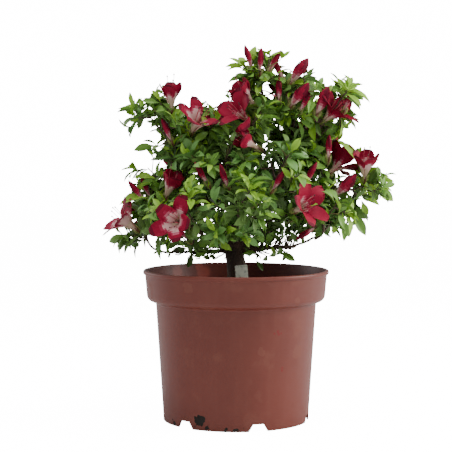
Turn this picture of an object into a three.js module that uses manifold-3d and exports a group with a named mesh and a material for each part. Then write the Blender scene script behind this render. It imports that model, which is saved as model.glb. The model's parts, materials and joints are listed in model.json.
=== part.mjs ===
// An azalea shrub in its plastic nursery pot, in millimetres, +Z up, seen from -Y.
// Every place below is measured from the pot's own axis and from the ground under it.
// The whole plant is then moved so that the origin is under the middle of its outline.

import * as THREE from 'three';
import { mergeVertices } from 'three/addons/utils/BufferGeometryUtils.js';
import Module from 'manifold-3d';

const wasm = await Module();
wasm.setup();

// Where the pot's axis stands from the middle of the whole outline
const POT_AXIS = [-15.3, -1.9];

const GAP = 0.3;
const SIMPLER = 0.02;
const NEARBY = 0.005;

// Pot: a thin wall with a wide rim band, a rolled lip and a notched foot
const POT_HEIGHT = 178;
const LIP_RADIUS = 110;
const LIP_HEIGHT = 4.5;
const BAND_TOP_RADIUS = 107.8;
const BAND_FOOT_RADIUS = 105.5;
const BAND_FOOT = 146.5;
const SHOULDER_FOOT = 140;
const BODY_TOP_RADIUS = 95;
const FOOT_RADIUS = 86.3;
const WALL = 1.5;
const FOOT_WALL = 2.2;
const FLOOR_UNDERSIDE = 9;
const FLOOR_TOP = 11.2;
const POT_SIDES = 36;

// Notches in the foot, and the drain holes in the floor behind them
const NOTCHES = 6;
const FIRST_NOTCH = -43;
const NOTCH_WIDTH = 23;
const NOTCH_SLANT = 5;
const NOTCH_HEIGHT = 8.5;
const CUT_DEPTH = 12;
const DRAIN_RADIUS = 6;
const DRAIN_PLACE = 66;

// Potting soil, a little higher round the trunk
const SOIL_TOP = 152;
const SOIL_EDGE = 149.5;
const SOIL_MOUND = 34;

// Name tag stuck in the soil in front of the trunk
const TAG_WIDTH = 14.8;
const TAG_TOP = 185;
const TAG_LENGTH = 72;
const TAG_POINT = 14;
const TAG_FOOT = 4;
const TAG_THICKNESS = 1.2;
const TAG_PLACE = [8.6, -23];
const TAG_LEAN = -5;

// Trunk: where its axis starts and ends, and its radius there
const TRUNK = { foot: [3, 0, SOIL_TOP + GAP], top: [-3, 0, 216], bow: -1.5, radii: [11.8, 9.8] };
const ROOT_FLARE = 3.4;
const ROOT_FADE = 6;
const ROOT_LOBES = 5;
const LOBE_DEPTH = 0.7;
const TRUNK_RIPPLE = 0.45;

// Sides and steps of the trunk and of a bough
const TRUNK_FACETS = [14, 7];
const BOUGH_FACETS = [6, 3];

// Boughs: what each grows from and how far along it, its tip, how far its middle is lifted,
// and its radius at each end
const BOUGHS = {
  left: { from: 'trunk', share: 0.97, tip: [-66, 0, 314], lift: -10, radii: [5, 2.6] },
  leader: { from: 'trunk', share: 0.99, tip: [8, 10, 296], lift: 0, radii: [6.2, 4] },
  right: { from: 'trunk', share: 0.96, tip: [56, 4, 292], lift: -14, radii: [5.4, 3.4] },
  low_left: { from: 'trunk', share: 0.8, tip: [-90, -12, 201], lift: -2, radii: [3.4, 1.9] },
  low_right: { from: 'trunk', share: 0.85, tip: [94, -20, 216], lift: -8, radii: [3.8, 1.9] },
  front_left: { from: 'trunk', share: 0.88, tip: [-40, -46, 222], lift: -8, radii: [3.2, 2] },
  centre_front: { from: 'trunk', share: 0.93, tip: [4, -50, 234], lift: -8, radii: [3.2, 2] },
  back_left: { from: 'trunk', share: 0.9, tip: [-44, 48, 232], lift: -8, radii: [3.6, 2.2] },
  back: { from: 'trunk', share: 0.95, tip: [6, 58, 256], lift: -8, radii: [3.6, 2.2] },
  back_right: { from: 'trunk', share: 0.86, tip: [54, 46, 232], lift: -8, radii: [3.6, 2.2] },
  mid_left: { from: 'left', share: 0.42, tip: [-62, 12, 266], lift: -4, radii: [2.8, 1.9] },
  left_shoulder: { from: 'left', share: 0.62, tip: [-36, 14, 316], lift: 0, radii: [2.8, 1.9] },
  heart: { from: 'leader', share: 0.45, tip: [-8, -26, 282], lift: -4, radii: [2.8, 1.9] },
  upper_middle: { from: 'leader', share: 0.8, tip: [14, -22, 330], lift: -2, radii: [2.8, 1.9] },
  top: { from: 'leader', share: 1, tip: [30, 2, 368], lift: -4, radii: [3.4, 2] },
  right_front: { from: 'leader', share: 0.3, tip: [36, -34, 268], lift: -5, radii: [2.8, 1.9] },
  upper_right: { from: 'right', share: 1, tip: [68, 2, 350], lift: 0, radii: [3, 1.9] },
  right_shoulder: { from: 'right', share: 0.86, tip: [98, 2, 344], lift: -6, radii: [2.8, 1.9] },
  mid_right: { from: 'right', share: 0.78, tip: [74, 10, 304], lift: -4, radii: [2.6, 1.9] },
  far_right: { from: 'right', share: 0.34, tip: [108, -6, 264], lift: -4, radii: [3, 2] },
  back_top: { from: 'leader', share: 0.7, tip: [12, 42, 330], lift: -4, radii: [2.8, 1.9] },
  back_shoulder_left: { from: 'left', share: 0.52, tip: [-44, 46, 304], lift: -4, radii: [2.8, 1.9] },
  back_shoulder_right: { from: 'right', share: 0.7, tip: [70, 44, 310], lift: -4, radii: [2.8, 1.9] },
};

// Masses of twigs and leaves: the bough that each grows on from, its centre and its reach
const MASSES = {
  low_left: { bough: 'low_left', centre: [-114, -10, 240], reach: [48, 46, 42] },
  front_left: { bough: 'front_left', centre: [-64, -66, 244], reach: [48, 48, 46] },
  upper_left: { bough: 'left', centre: [-94, -6, 350], reach: [50, 46, 48] },
  left_shoulder: { bough: 'left_shoulder', centre: [-46, 4, 350], reach: [40, 46, 42] },
  mid_left: { bough: 'mid_left', centre: [-84, 8, 292], reach: [46, 46, 38] },
  centre_front: { bough: 'centre_front', centre: [0, -82, 250], reach: [54, 50, 48] },
  heart: { bough: 'heart', centre: [-18, -36, 304], reach: [50, 50, 42] },
  top: { bough: 'top', centre: [28, 0, 410], reach: [44, 42, 42] },
  upper_middle: { bough: 'upper_middle', centre: [8, -32, 362], reach: [40, 46, 42] },
  upper_right: { bough: 'upper_right', centre: [68, -4, 382], reach: [42, 44, 42] },
  right_shoulder: { bough: 'right_shoulder', centre: [118, 0, 368], reach: [46, 44, 44] },
  mid_right: { bough: 'mid_right', centre: [98, 4, 318], reach: [44, 46, 38] },
  far_right: { bough: 'far_right', centre: [146, -8, 276], reach: [46, 46, 44] },
  low_right: { bough: 'low_right', centre: [104, -44, 240], reach: [52, 50, 44] },
  right_front: { bough: 'right_front', centre: [48, -48, 292], reach: [46, 48, 46] },
  back_left: { bough: 'back_left', centre: [-76, 70, 262], reach: [56, 54, 52] },
  back: { bough: 'back', centre: [6, 88, 288], reach: [58, 48, 56] },
  back_right: { bough: 'back_right', centre: [88, 68, 270], reach: [56, 54, 52] },
  back_top: { bough: 'back_top', centre: [14, 52, 372], reach: [46, 44, 44] },
  back_shoulder_left: { bough: 'back_shoulder_left', centre: [-56, 56, 334], reach: [46, 44, 42] },
  back_shoulder_right: { bough: 'back_shoulder_right', centre: [80, 54, 344], reach: [46, 44, 44] },
};

// Blooms, half-open blooms, buds and furthest shoots that the front shows:
// what each is, its foot and the way it faces
const SHOWN = [
  ['bloom', [-118, -16, 226], [-0.5, -0.3, 0.8]],
  ['bloom', [-62, -72, 244], [-0.35, -0.92, 0]],
  ['bloom', [-54, -10, 336], [0.25, -0.6, 0.76]],
  ['bloom', [14, -24, 354], [-0.05, -0.96, 0.25]],
  ['bloom', [62, -54, 246], [0.66, -0.7, 0.25]],
  ['half', [-76, -8, 366], [0.03, -0.2, 0.98]],
  ['half', [12, -10, 368], [-0.35, -0.3, 0.88]],
  ['half', [62, -16, 370], [0.5, -0.2, 0.84]],
  ['half', [98, 2, 350], [0.75, -0.3, 0.5]],
  ['half', [110, 4, 292], [0.35, 0.2, 0.9]],
  ['half', [151, -12, 282], [0.1, -0.35, 0.92]],
  ['half', [114, -18, 258], [0.6, -0.15, 0.78]],
  ['half', [98, -24, 234], [-0.75, -0.5, -0.4]],
  ['half', [30, -46, 320], [-0.75, -0.45, 0.45]],
  ['half', [-90, -24, 262], [0.4, -0.3, 0.86]],
  ['bud', [23, -6, 412], [-0.28, -0.05, 0.96]],
  ['buds', [31, -8, 408], [0.24, -0.1, 0.96]],
  ['buds', [59, -2, 402], [0.2, -0.05, 0.97]],
  ['bud', [51, -14, 372], [0, -0.1, 0.99]],
  ['bud', [70, -10, 366], [0.55, -0.1, 0.83]],
  ['bud', [95, -12, 360], [0.45, -0.1, 0.88]],
  ['buds', [124, 0, 364], [0.1, 0, 0.99]],
  ['bud', [108, -6, 302], [0, -0.1, 0.99]],
  ['bud', [78, -48, 278], [0.38, -0.2, 0.9]],
  ['bud', [45, -62, 268], [0.25, -0.3, 0.92]],
  ['bud', [-13, -66, 268], [-0.05, -0.2, 0.97]],
  ['bud', [-32, -58, 278], [-0.4, -0.2, 0.9]],
  ['bud', [-76, -12, 326], [-0.36, -0.1, 0.93]],
  ['buds', [-105, -2, 252], [-0.3, 0, 0.95]],
  ['bud', [-62, -50, 226], [0.25, -0.4, -0.88]],
  ['leaves', [24, 4, 417], [0, 0.1, 0.99]],
  ['leaves', [12, 0, 414], [-0.9, 0, 0.42]],
  ['leaves', [-116, -6, 366], [-0.7, -0.1, 0.7]],
  ['leaves', [-98, -2, 324], [-0.95, -0.1, 0.2]],
  ['leaves', [-100, -2, 288], [-0.95, -0.05, 0.1]],
  ['leaves', [-128, -12, 214], [-0.9, -0.2, -0.1]],
  ['leaves', [134, 0, 386], [0.6, 0, 0.8]],
  ['leaves', [126, 4, 352], [0.98, 0.05, -0.1]],
  ['leaves', [164, -6, 282], [0.9, 0.05, 0.2]],
  ['leaves', [140, -4, 256], [0.95, 0, -0.15]],
  ['leaves', [126, -32, 236], [0.9, -0.2, 0]],
];

// How the twigs of a mass branch
const STEM_STEPS = 4;
const STEM_SHARE = 0.72;
const STEM_BEND = 0.4;
const TWIG_STEPS = 3;
const SPRAYS = 10;
const MOST_TRIES = 40;
const SHORTEST_TWIG = 12;
const TURN_COST = 0.7;
const RUN_COST = 0.12;
const TWIG_BEND = 0.33;
const TWIG_SPLAY = 1.5;
const CROWN_CENTRE = [0, 0, 262];
const SPRAY_LEAN = { onwards: 0.6, outwards: 0.5, upwards: 0.4 };
const LOWEST_LEAF = POT_HEIGHT + 4;
const TWIG_RADIUS = 0.9;
const TWIG_SWELL = 0.35;
const COLLAR = 2.6;
const BACK_STARTS = 40;
const BACK_EVERY = 5;
const BACK_FLOWERS = ['bloom', 'half', 'buds'];

// Steps that spread tips evenly through a mass, and how far out from its centre they lie
const FILL_STEPS = [0.8191725134, 0.6710436067, 0.5497004779];
const NEAREST_TIP = 0.36;
const FURTHEST_TIP = 0.8;

// Room that each thing keeps to the edge of its mass, to the limbs and to its neighbours
const FOOT_ROOM = 3;
const TWIG_ROOM = 2;
const LEAF_ROOM = 0.6;
const LIMB_ROOM = 1.8;
const LEAF_LIMB_ROOM = 1;
const FLOWER_ROOM = 0.5;

// When a prism is sound: the volume that it may share with a neighbour, how far its ring stands
// ahead of its base, and its share of its own hull. Rings ease round by these shares
const TOUCH = 0.01;
const AHEAD = 0.05;
const WHOLE = 0.995;
const EASINGS = [0, 0.5, 0.9];

// Leaves, larger than life because there are fewer of them. A leaf that runs into something
// is tried again with its lean changed by an angle and its length by a share
const LEAF_LENGTH = 33;
const LEAF_WIDTH = 0.42;
const LEAF_WIDEST = 0.55;
const LEAF_THICKNESS = 0.045;
const LEAF_DROOP = 0.1;
const TIP_TILT = 0.3;
const HIGH_TILT = 0.85;
const LOW_TILT = 1.25;
const LEAN_SPREAD = 0.15;
const LEAF_TRIES = [[0, 1], [-0.3, 0.9], [0.25, 0.8], [-0.1, 0.7]];

// Flowers: an open funnel of five lobes, a half-open one, and a bud
const BLOOM = { length: 36, rim: 26, throat: 6.5, notch: 0.62, depth: 0.35 };
const HALF_OPEN = { length: 36, rim: 10, throat: 6, depth: 0.7 };
const BUD = { length: 28, radius: 4.2 };
const BUD_SPREAD = 0.42;
const FLOWER_ROOT = 1.5;

const COLOURS = {
  pot: 0x8a4d3f,
  soil: 0x3b2419,
  tag: 0xc9c8bd,
  bark: 0x46342a,
  foliage: 0x4f7d2c,
};

const UP = new THREE.Vector3(0, 0, 1);
const vector = (list) => new THREE.Vector3(...list);
const between = (a, b, t) => a.clone().lerp(b, t);
const along = (start, way, length) => start.clone().addScaledVector(way, length);

// Repeatable random numbers from a seed
function seeded(seed) {
  let state = seed;
  const draw = (low = 0, high = 1) => {
    state = (state * 48271) % 2147483647;
    return low + ((high - low) * state) / 2147483647;
  };
  draw();
  draw();
  return draw;
}

// Closed geometry to a solid, and a solid back to a mesh
function solidOf(geometry) {
  geometry.deleteAttribute('normal');
  geometry.deleteAttribute('uv');
  const merged = mergeVertices(geometry, 1e-4);
  return new wasm.Manifold(new wasm.Mesh({
    numProp: 3,
    vertProperties: new Float32Array(merged.attributes.position.array),
    triVerts: new Uint32Array(merged.index.array),
  }));
}

// The largest body of a solid, without loose scraps or sealed hollows
function largestOf(solid) {
  const bodies = solid.decompose();
  return bodies.reduce((best, body) => (body.volume() > best.volume() ? body : best));
}

function meshOf(name, solid, colour, roughness) {
  const found = solid.getMesh();
  const geometry = new THREE.BufferGeometry();
  geometry.setAttribute('position', new THREE.BufferAttribute(found.vertProperties, 3));
  geometry.setIndex(new THREE.BufferAttribute(found.triVerts, 1));
  geometry.computeVertexNormals();
  const material = new THREE.MeshStandardMaterial({ color: colour, roughness, metalness: 0 });
  const mesh = new THREE.Mesh(geometry, material);
  mesh.name = name;
  return mesh;
}

// Solids of revolution about the pot's axis, from a profile of [radius, height]
function turned(profile) {
  const points = profile.map(([radius, height]) => new THREE.Vector2(radius, height));
  const geometry = new THREE.LatheGeometry(points, POT_SIDES);
  return solidOf(geometry.rotateX(Math.PI / 2));
}

function notchCutter(angle) {
  const low = NOTCH_WIDTH / 2;
  const high = low - NOTCH_SLANT;
  const outline = new THREE.Shape([
    new THREE.Vector2(-low - NOTCH_SLANT / NOTCH_HEIGHT, -1),
    new THREE.Vector2(low + NOTCH_SLANT / NOTCH_HEIGHT, -1),
    new THREE.Vector2(high, NOTCH_HEIGHT),
    new THREE.Vector2(-high, NOTCH_HEIGHT),
  ]);
  const cutter = new THREE.ExtrudeGeometry(outline, { depth: CUT_DEPTH, bevelEnabled: false });
  cutter.rotateX(Math.PI / 2).translate(0, CUT_DEPTH / 2 - FOOT_RADIUS, 0);
  return solidOf(cutter.rotateZ(angle));
}

function drainCutter(angle) {
  const cutter = new THREE.CylinderGeometry(DRAIN_RADIUS, DRAIN_RADIUS, CUT_DEPTH, 12);
  cutter.rotateX(Math.PI / 2).translate(0, -DRAIN_PLACE, FLOOR_TOP);
  return solidOf(cutter.rotateZ(angle));
}

function makePot() {
  const band = POT_HEIGHT - LIP_HEIGHT;
  let pot = turned([
    [0, FLOOR_TOP],
    [FOOT_RADIUS - WALL, FLOOR_TOP],
    [BODY_TOP_RADIUS - WALL, SHOULDER_FOOT + 0.4],
    [BODY_TOP_RADIUS + 5.5 - WALL, SHOULDER_FOOT + 3],
    [BAND_FOOT_RADIUS - WALL, BAND_FOOT],
    [BAND_TOP_RADIUS - WALL, POT_HEIGHT],
    [LIP_RADIUS - 1, POT_HEIGHT],
    [LIP_RADIUS, POT_HEIGHT - 1.3],
    [LIP_RADIUS, band + 1],
    [LIP_RADIUS - 1, band],
    [BAND_TOP_RADIUS, band],
    [BAND_FOOT_RADIUS, BAND_FOOT],
    [BAND_FOOT_RADIUS - 2.4, BAND_FOOT - 3.9],
    [BODY_TOP_RADIUS + 1.6, SHOULDER_FOOT + 0.2],
    [BODY_TOP_RADIUS, SHOULDER_FOOT - 1.4],
    [FOOT_RADIUS + 0.6, FLOOR_TOP + 2],
    [FOOT_RADIUS, 0],
    [FOOT_RADIUS - FOOT_WALL, 0],
    [FOOT_RADIUS - FOOT_WALL, FLOOR_UNDERSIDE],
    [0, FLOOR_UNDERSIDE],
  ].reverse());
  for (let i = 0; i < NOTCHES; i++) {
    const angle = THREE.MathUtils.degToRad(FIRST_NOTCH + (360 / NOTCHES) * i);
    pot = pot.subtract(notchCutter(angle)).subtract(drainCutter(angle));
  }
  return pot;
}

// The tag's outline, pointed at its foot, grown outwards by room
function tagSolid(room) {
  const half = TAG_WIDTH / 2 + room;
  const foot = TAG_TOP - TAG_LENGTH - room;
  const outline = new THREE.Shape([
    new THREE.Vector2(-TAG_FOOT / 2 - room, foot),
    new THREE.Vector2(TAG_FOOT / 2 + room, foot),
    new THREE.Vector2(half, foot + TAG_POINT),
    new THREE.Vector2(half, TAG_TOP),
    new THREE.Vector2(-half, TAG_TOP),
    new THREE.Vector2(-half, foot + TAG_POINT),
  ]);
  const thickness = TAG_THICKNESS + 2 * room;
  const plate = new THREE.ExtrudeGeometry(outline, { depth: thickness, bevelEnabled: false });
  plate.translate(0, 0, -thickness / 2).rotateX(Math.PI / 2);
  plate.translate(0, 0, -SOIL_TOP).rotateY(THREE.MathUtils.degToRad(TAG_LEAN));
  return solidOf(plate.translate(TAG_PLACE[0], TAG_PLACE[1], SOIL_TOP));
}

function makeSoil() {
  const room = WALL + GAP + 0.1;
  const soil = turned([
    [0, FLOOR_TOP + GAP],
    [FOOT_RADIUS - room, FLOOR_TOP + GAP],
    [BODY_TOP_RADIUS - room, SHOULDER_FOOT + 1.2],
    [BAND_FOOT_RADIUS - room, BAND_FOOT + 0.8],
    [BAND_FOOT_RADIUS - room, SOIL_EDGE],
    [SOIL_MOUND, SOIL_TOP],
    [0, SOIL_TOP],
  ]);
  return soil.subtract(tagSolid(GAP));
}

// A point on the cubic curve through a limb's four control points
function onCurve([a, b, c, d], t) {
  const s = 1 - t;
  return new THREE.Vector3()
    .addScaledVector(a, s * s * s)
    .addScaledVector(b, 3 * s * s * t)
    .addScaledVector(c, 3 * s * t * t)
    .addScaledVector(d, t * t * t);
}

// A straight cylinder of unit size, bent so that its axis follows a path, with the radius
// that radiusAt gives for a share of its length and an angle round it. A level one has
// level sections however its axis leans
function bentTube({ pathAt, radiusAt, sides, steps, isLevel }) {
  const tube = new THREE.CylinderGeometry(1, 1, 1, sides, steps);
  const place = tube.attributes.position;
  const span = pathAt(1).sub(pathAt(0)).normalize();
  const across = Math.abs(span.x) < 0.8 ? new THREE.Vector3(1, 0, 0) : new THREE.Vector3(0, 1, 0);
  for (let i = 0; i < place.count; i++) {
    const t = place.getY(i) + 0.5;
    const way = isLevel
      ? UP.clone()
      : pathAt(Math.min(t + NEARBY, 1)).sub(pathAt(Math.max(t - NEARBY, 0))).normalize();
    const side = across.clone().cross(way).normalize();
    const other = side.clone().cross(way);
    const round = Math.atan2(place.getZ(i), place.getX(i));
    const radius = Math.hypot(place.getX(i), place.getZ(i)) * radiusAt(t, round);
    const point = along(pathAt(t), side, radius * Math.cos(round));
    point.addScaledVector(other, radius * Math.sin(round));
    place.setXYZ(i, point.x, point.y, point.z);
  }
  return solidOf(tube);
}

function limbTrunk() {
  const foot = vector(TRUNK.foot);
  const top = vector(TRUNK.top);
  const middle = between(foot, top, 0.5).add(new THREE.Vector3(TRUNK.bow, 0, 0));
  return { points: [foot, middle, middle, top], radii: TRUNK.radii };
}

function limbBough({ from, share, tip, lift, radii }, limbs) {
  const start = onCurve(limbs[from].points, share);
  const end = vector(tip);
  const first = along(between(start, end, 0.33), UP, lift);
  const second = along(between(start, end, 0.67), UP, lift);
  return { points: [start, first, second, end], radii };
}

function grownLimbs() {
  const limbs = { trunk: limbTrunk() };
  for (const [name, bough] of Object.entries(BOUGHS)) {
    limbs[name] = limbBough(bough, limbs);
  }
  return limbs;
}

const limbs = grownLimbs();

// A limb's solid, fattened by room all round and past its ends
function limbSolid(name, room) {
  const { points, radii } = limbs[name];
  const isTrunk = name === 'trunk';
  const first = points[1].clone().sub(points[0]).normalize();
  const last = points[3].clone().sub(points[2]).normalize();
  const pathAt = (t) => {
    const point = onCurve(points, t);
    if (room > 0 && t === 0) point.addScaledVector(first, -room);
    if (room > 0 && t === 1) point.addScaledVector(last, room);
    return point;
  };
  const radiusAt = (t, round) => {
    let radius = THREE.MathUtils.lerp(radii[0], radii[1], t);
    if (isTrunk) {
      const lobes = 1 + LOBE_DEPTH * Math.cos(ROOT_LOBES * round + 1);
      radius += ROOT_FLARE * LOBE_DEPTH * Math.exp(-ROOT_FADE * t) * lobes;
      radius += TRUNK_RIPPLE * Math.sin(3 * round + 4 * t);
    }
    return radius + room;
  };
  const [sides, steps] = isTrunk ? TRUNK_FACETS : BOUGH_FACETS;
  return bentTube({ pathAt, radiusAt, sides, steps, isLevel: isTrunk });
}

const fatLimbs = Object.keys(limbs).map((name) => limbSolid(name, GAP));

// Each limb, cut clear of those that it grows from or past
function makeLimbs() {
  return Object.keys(limbs).map((name, i) => {
    const rest = fatLimbs.slice(0, i).reduce((solid, fat) => solid.subtract(fat), limbSolid(name, 0));
    return [name, largestOf(rest).simplify(SIMPLER)];
  });
}

// Points along all limbs with their radius, for keeping twigs and leaves clear of them
function limbBeads() {
  const beads = [];
  for (const { points, radii } of Object.values(limbs)) {
    const count = Math.max(2, Math.ceil((points[0].distanceTo(points[3]) * 1.05) / 3));
    for (let i = 0; i <= count; i++) {
      const t = i / count;
      beads.push({ place: onCurve(points, t), radius: THREE.MathUtils.lerp(radii[0], radii[1], t) });
    }
  }
  return beads;
}

const beads = limbBeads();
const clearOfLimbs = (point, room) => beads.every(({ place, radius }) => (
  point.distanceToSquared(place) >= (radius + room) ** 2));

// The space of a mass: its ellipsoid, cut by a plane between it and each neighbour
function spaceOf(name) {
  const centre = vector(MASSES[name].centre);
  const reach = vector(MASSES[name].reach);
  const size = (reach.x + reach.y + reach.z) / 3;
  const walls = [];
  for (const [otherName, other] of Object.entries(MASSES)) {
    if (otherName === name) continue;
    const otherSize = (other.reach[0] + other.reach[1] + other.reach[2]) / 3;
    const way = vector(other.centre).sub(centre);
    const apart = way.length();
    const distance = (apart * apart + size * size - otherSize * otherSize) / (2 * apart);
    walls.push({ way: way.divideScalar(apart), distance });
  }
  const holds = (point, room) => {
    const from = point.clone().sub(centre);
    if (from.clone().divide(reach).lengthSq() > 1 || point.z < LOWEST_LEAF) return false;
    return walls.every((wall) => from.dot(wall.way) < wall.distance - room);
  };
  return { centre, reach, holds };
}

// Tips that fill an ellipsoid evenly, one after another
function fillTip({ centre, reach }, k) {
  const share = (step) => (0.5 + (k + 1) * step) % 1;
  const height = 1 - 2 * share(FILL_STEPS[0]);
  const turn = 2 * Math.PI * share(FILL_STEPS[1]);
  const ring = Math.sqrt(1 - height * height);
  const way = new THREE.Vector3(ring * Math.cos(turn), ring * Math.sin(turn), height);
  const far = THREE.MathUtils.lerp(NEAREST_TIP, FURTHEST_TIP, Math.sqrt(share(FILL_STEPS[2])));
  return centre.clone().add(way.multiply(reach).multiplyScalar(far));
}

// Twigs and sprays of one mass: each spray grows from the nearest joint of what is there
function growMass(name, sprayCount) {
  const space = spaceOf(name);
  const { points, radii } = limbs[MASSES[name].bough];
  const way = points[3].clone().sub(points[2]).normalize();
  const start = along(points[3], way, GAP);
  const heart = between(start, space.centre, STEM_SHARE);
  const first = along(start, way, start.distanceTo(heart) * STEM_BEND);
  const stem = [start, first, between(first, heart, 0.5), heart];
  const joints = [{ place: start, way, parent: -1, run: 0, carries: 0, branches: 0, isTip: true }];
  const addJoints = (curve, steps, from) => {
    let parent = from;
    for (let i = 1; i <= steps; i++) {
      const place = onCurve(curve, i / steps);
      const step = place.clone().sub(joints[parent].place);
      const run = joints[parent].run + step.length();
      joints.push({ place, way: step.normalize(), parent, run, carries: 0, branches: 0, isTip: false });
      parent = joints.length - 1;
    }
    return parent;
  };
  const stemEnd = addJoints(stem, STEM_STEPS, 0);

  const shown = SHOWN.filter(([, foot]) => space.holds(vector(foot), 0));
  const isBack = space.centre.y > BACK_STARTS;
  const sprays = [];
  for (let k = 0; k < MOST_TRIES && sprays.length < sprayCount; k++) {
    const isShown = k < shown.length;
    const foot = isShown ? vector(shown[k][1]) : fillTip(space, k - shown.length);
    let form = isShown ? shown[k][0] : 'leaves';
    if (isBack && k % BACK_EVERY === 2) {
      form = BACK_FLOWERS[Math.floor(k / BACK_EVERY) % BACK_FLOWERS.length];
    }
    if (!space.holds(foot, FOOT_ROOM)) continue;
    let best = -1;
    let bestCost = Infinity;
    for (let j = 1; j < joints.length; j++) {
      const reach = foot.clone().sub(joints[j].place);
      const far = reach.length();
      if (joints[j].isTip || far < SHORTEST_TWIG) continue;
      const turn = 1 - reach.dot(joints[j].way) / far;
      const cost = far * (1 + TURN_COST * turn) + RUN_COST * joints[j].run;
      if (cost < bestCost) [best, bestCost] = [j, cost];
    }
    const joint = joints[best];
    const reach = foot.clone().sub(joint.place);
    const far = reach.length();
    reach.divideScalar(far);
    const outwards = foot.clone().sub(vector(CROWN_CENTRE)).normalize();
    const axis = isShown
      ? vector(shown[k][2]).normalize()
      : reach.clone().multiplyScalar(SPRAY_LEAN.onwards)
        .addScaledVector(outwards, SPRAY_LEAN.outwards)
        .addScaledVector(UP, SPRAY_LEAN.upwards).normalize();
    const bend = far * TWIG_BEND;
    const leaving = joint.way.clone().addScaledVector(reach, TWIG_SPLAY).normalize();
    const twig = [joint.place, along(joint.place, leaving, bend), along(foot, axis, -bend), foot];
    const isFree = [1, 2, 3, 4, 5, 6].every((i) => {
      const point = onCurve(twig, i / 6);
      return space.holds(point, TWIG_ROOM) && clearOfLimbs(point, LIMB_ROOM);
    });
    if (!isFree) continue;
    const tip = addJoints(twig, TWIG_STEPS, best);
    joints[tip].isTip = true;
    joints[best].branches += 1;
    for (let j = tip; j >= 0; j = joints[j].parent) joints[j].carries += 1;
    const seed = 1 + k + 1000 * (1 + Object.keys(MASSES).indexOf(name));
    sprays.push({ foot, axis, form, joint: tip, root: best, seed });
  }
  return { space, joints, sprays, stemEnd, stemRadius: radii[1] };
}

const twigRadius = (carries) => TWIG_RADIUS + TWIG_SWELL * Math.sqrt(carries);

// A body that grows: any of its triangles can be drawn out into a twig or a leaf of three sides
class Growth {
  constructor(ring) {
    this.points = [...ring];
    this.faces = [[0, 2, 1], [0, 1, 2]];
  }

  corners(face) {
    return this.faces[face].map((index) => this.points[index]);
  }

  // Draws a face out to a ring of three points, and gives the six faces round it
  draw(face, ring) {
    const sides = sidesBetween(this.corners(face), ring);
    const ends = [...this.faces[face], ...ring.map((point) => this.points.push(point) - 1)];
    this.faces[face] = ends.slice(3);
    return sides.map((side) => this.faces.push(side.map((index) => ends[index])) - 1);
  }

  close(face, tip) {
    const [a, b, c] = this.faces[face];
    const d = this.points.push(tip) - 1;
    this.faces[face] = [a, b, d];
    this.faces.push([b, c, d], [c, a, d]);
  }

  solid() {
    return facesSolid(this.points, this.faces);
  }
}

function facesSolid(points, faces) {
  const geometry = new THREE.BufferGeometry().setFromPoints(points);
  geometry.setIndex(faces.flat());
  return solidOf(geometry);
}

const middleOf = ([a, b, c]) => a.clone().add(b).add(c).divideScalar(3);

// Three points round a centre, square to a direction, in step with the corners they follow
function ringAfter(corners, centre, way, radius, twist = 0) {
  const middle = middleOf(corners);
  const out = new THREE.Vector3();
  corners.forEach((corner, i) => {
    out.add(corner.clone().sub(middle).projectOnPlane(way).applyAxisAngle(way, (-i * Math.PI * 2) / 3));
  });
  out.normalize().applyAxisAngle(way, twist);
  return [0, 1, 2].map((i) => (
    along(centre, out.clone().applyAxisAngle(way, (i * Math.PI * 2) / 3), radius)));
}

// Three points round a centre, counter-clockwise as seen from ahead
function ringRound(centre, way, radius) {
  const [side] = acrossOf(way);
  return [0, 1, 2].map((i) => (
    along(centre, side.clone().applyAxisAngle(way, (i * Math.PI * 2) / 3), radius)));
}

// The triangles between a base, corners 0 to 2, and a ring, corners 3 to 5. Each pair meets in
// the fold that stands outwards
function sidesBetween(base, ring) {
  return [0, 1, 2].flatMap((i) => {
    const j = (i + 1) % 3;
    const across = base[j].clone().sub(base[i]).cross(ring[j].clone().sub(base[i]));
    return across.dot(ring[i].clone().sub(base[i])) <= 0
      ? [[i, j, j + 3], [i, j + 3, i + 3]]
      : [[i, j, i + 3], [j, j + 3, i + 3]];
  });
}

const prismSolid = (base, ring) => (
  facesSolid([...base, ...ring], [[0, 2, 1], [3, 4, 5], ...sidesBetween(base, ring)]));
const leafSolid = (base, ring, tip) => (
  facesSolid([...base, ...ring, tip], [
    [0, 2, 1], [3, 4, 6], [4, 5, 6], [5, 3, 6], ...sidesBetween(base, ring),
  ]));

// Whether a ring stands wholly ahead of its base, and the prism between them isn't folded
// through itself
function isSound(base, ring) {
  const aheadOf = ([a, b, c], point) => (
    b.clone().sub(a).cross(c.clone().sub(a)).normalize().dot(point.clone().sub(a)));
  if (!ring.every((point) => aheadOf(base, point) > AHEAD)) return false;
  if (!base.every((point) => aheadOf(ring, point) < -AHEAD)) return false;
  const hull = wasm.Manifold.hull([...base, ...ring].map((point) => point.toArray()));
  return prismSolid(base, ring).volume() > hull.volume() * WHOLE;
}

// The limbs and what a mass has so far, for telling whether one more solid would run into them
class Crowd {
  constructor(solids) {
    this.members = [];
    solids.forEach((solid) => this.add(solid));
  }

  // Kin may run into the solid and its own may touch it, and the rest keep their distance
  admits(solid, kin = [], own = null) {
    const box = solid.boundingBox();
    return this.members.every((member) => {
      if (kin.includes(member.solid)) return true;
      const { min, max } = member.box;
      const room = own && !own.includes(member.solid) ? LEAF_ROOM : 0;
      const isApart = [0, 1, 2].some((i) => min[i] > box.max[i] + room || max[i] < box.min[i] - room);
      if (isApart) return true;
      if (room > 0) return member.solid.minGap(solid, 2 * room) >= room;
      return member.solid.intersect(solid).volume() < TOUCH;
    });
  }

  add(solid) {
    this.members.push({ solid, box: solid.boundingBox() });
  }
}

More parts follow.
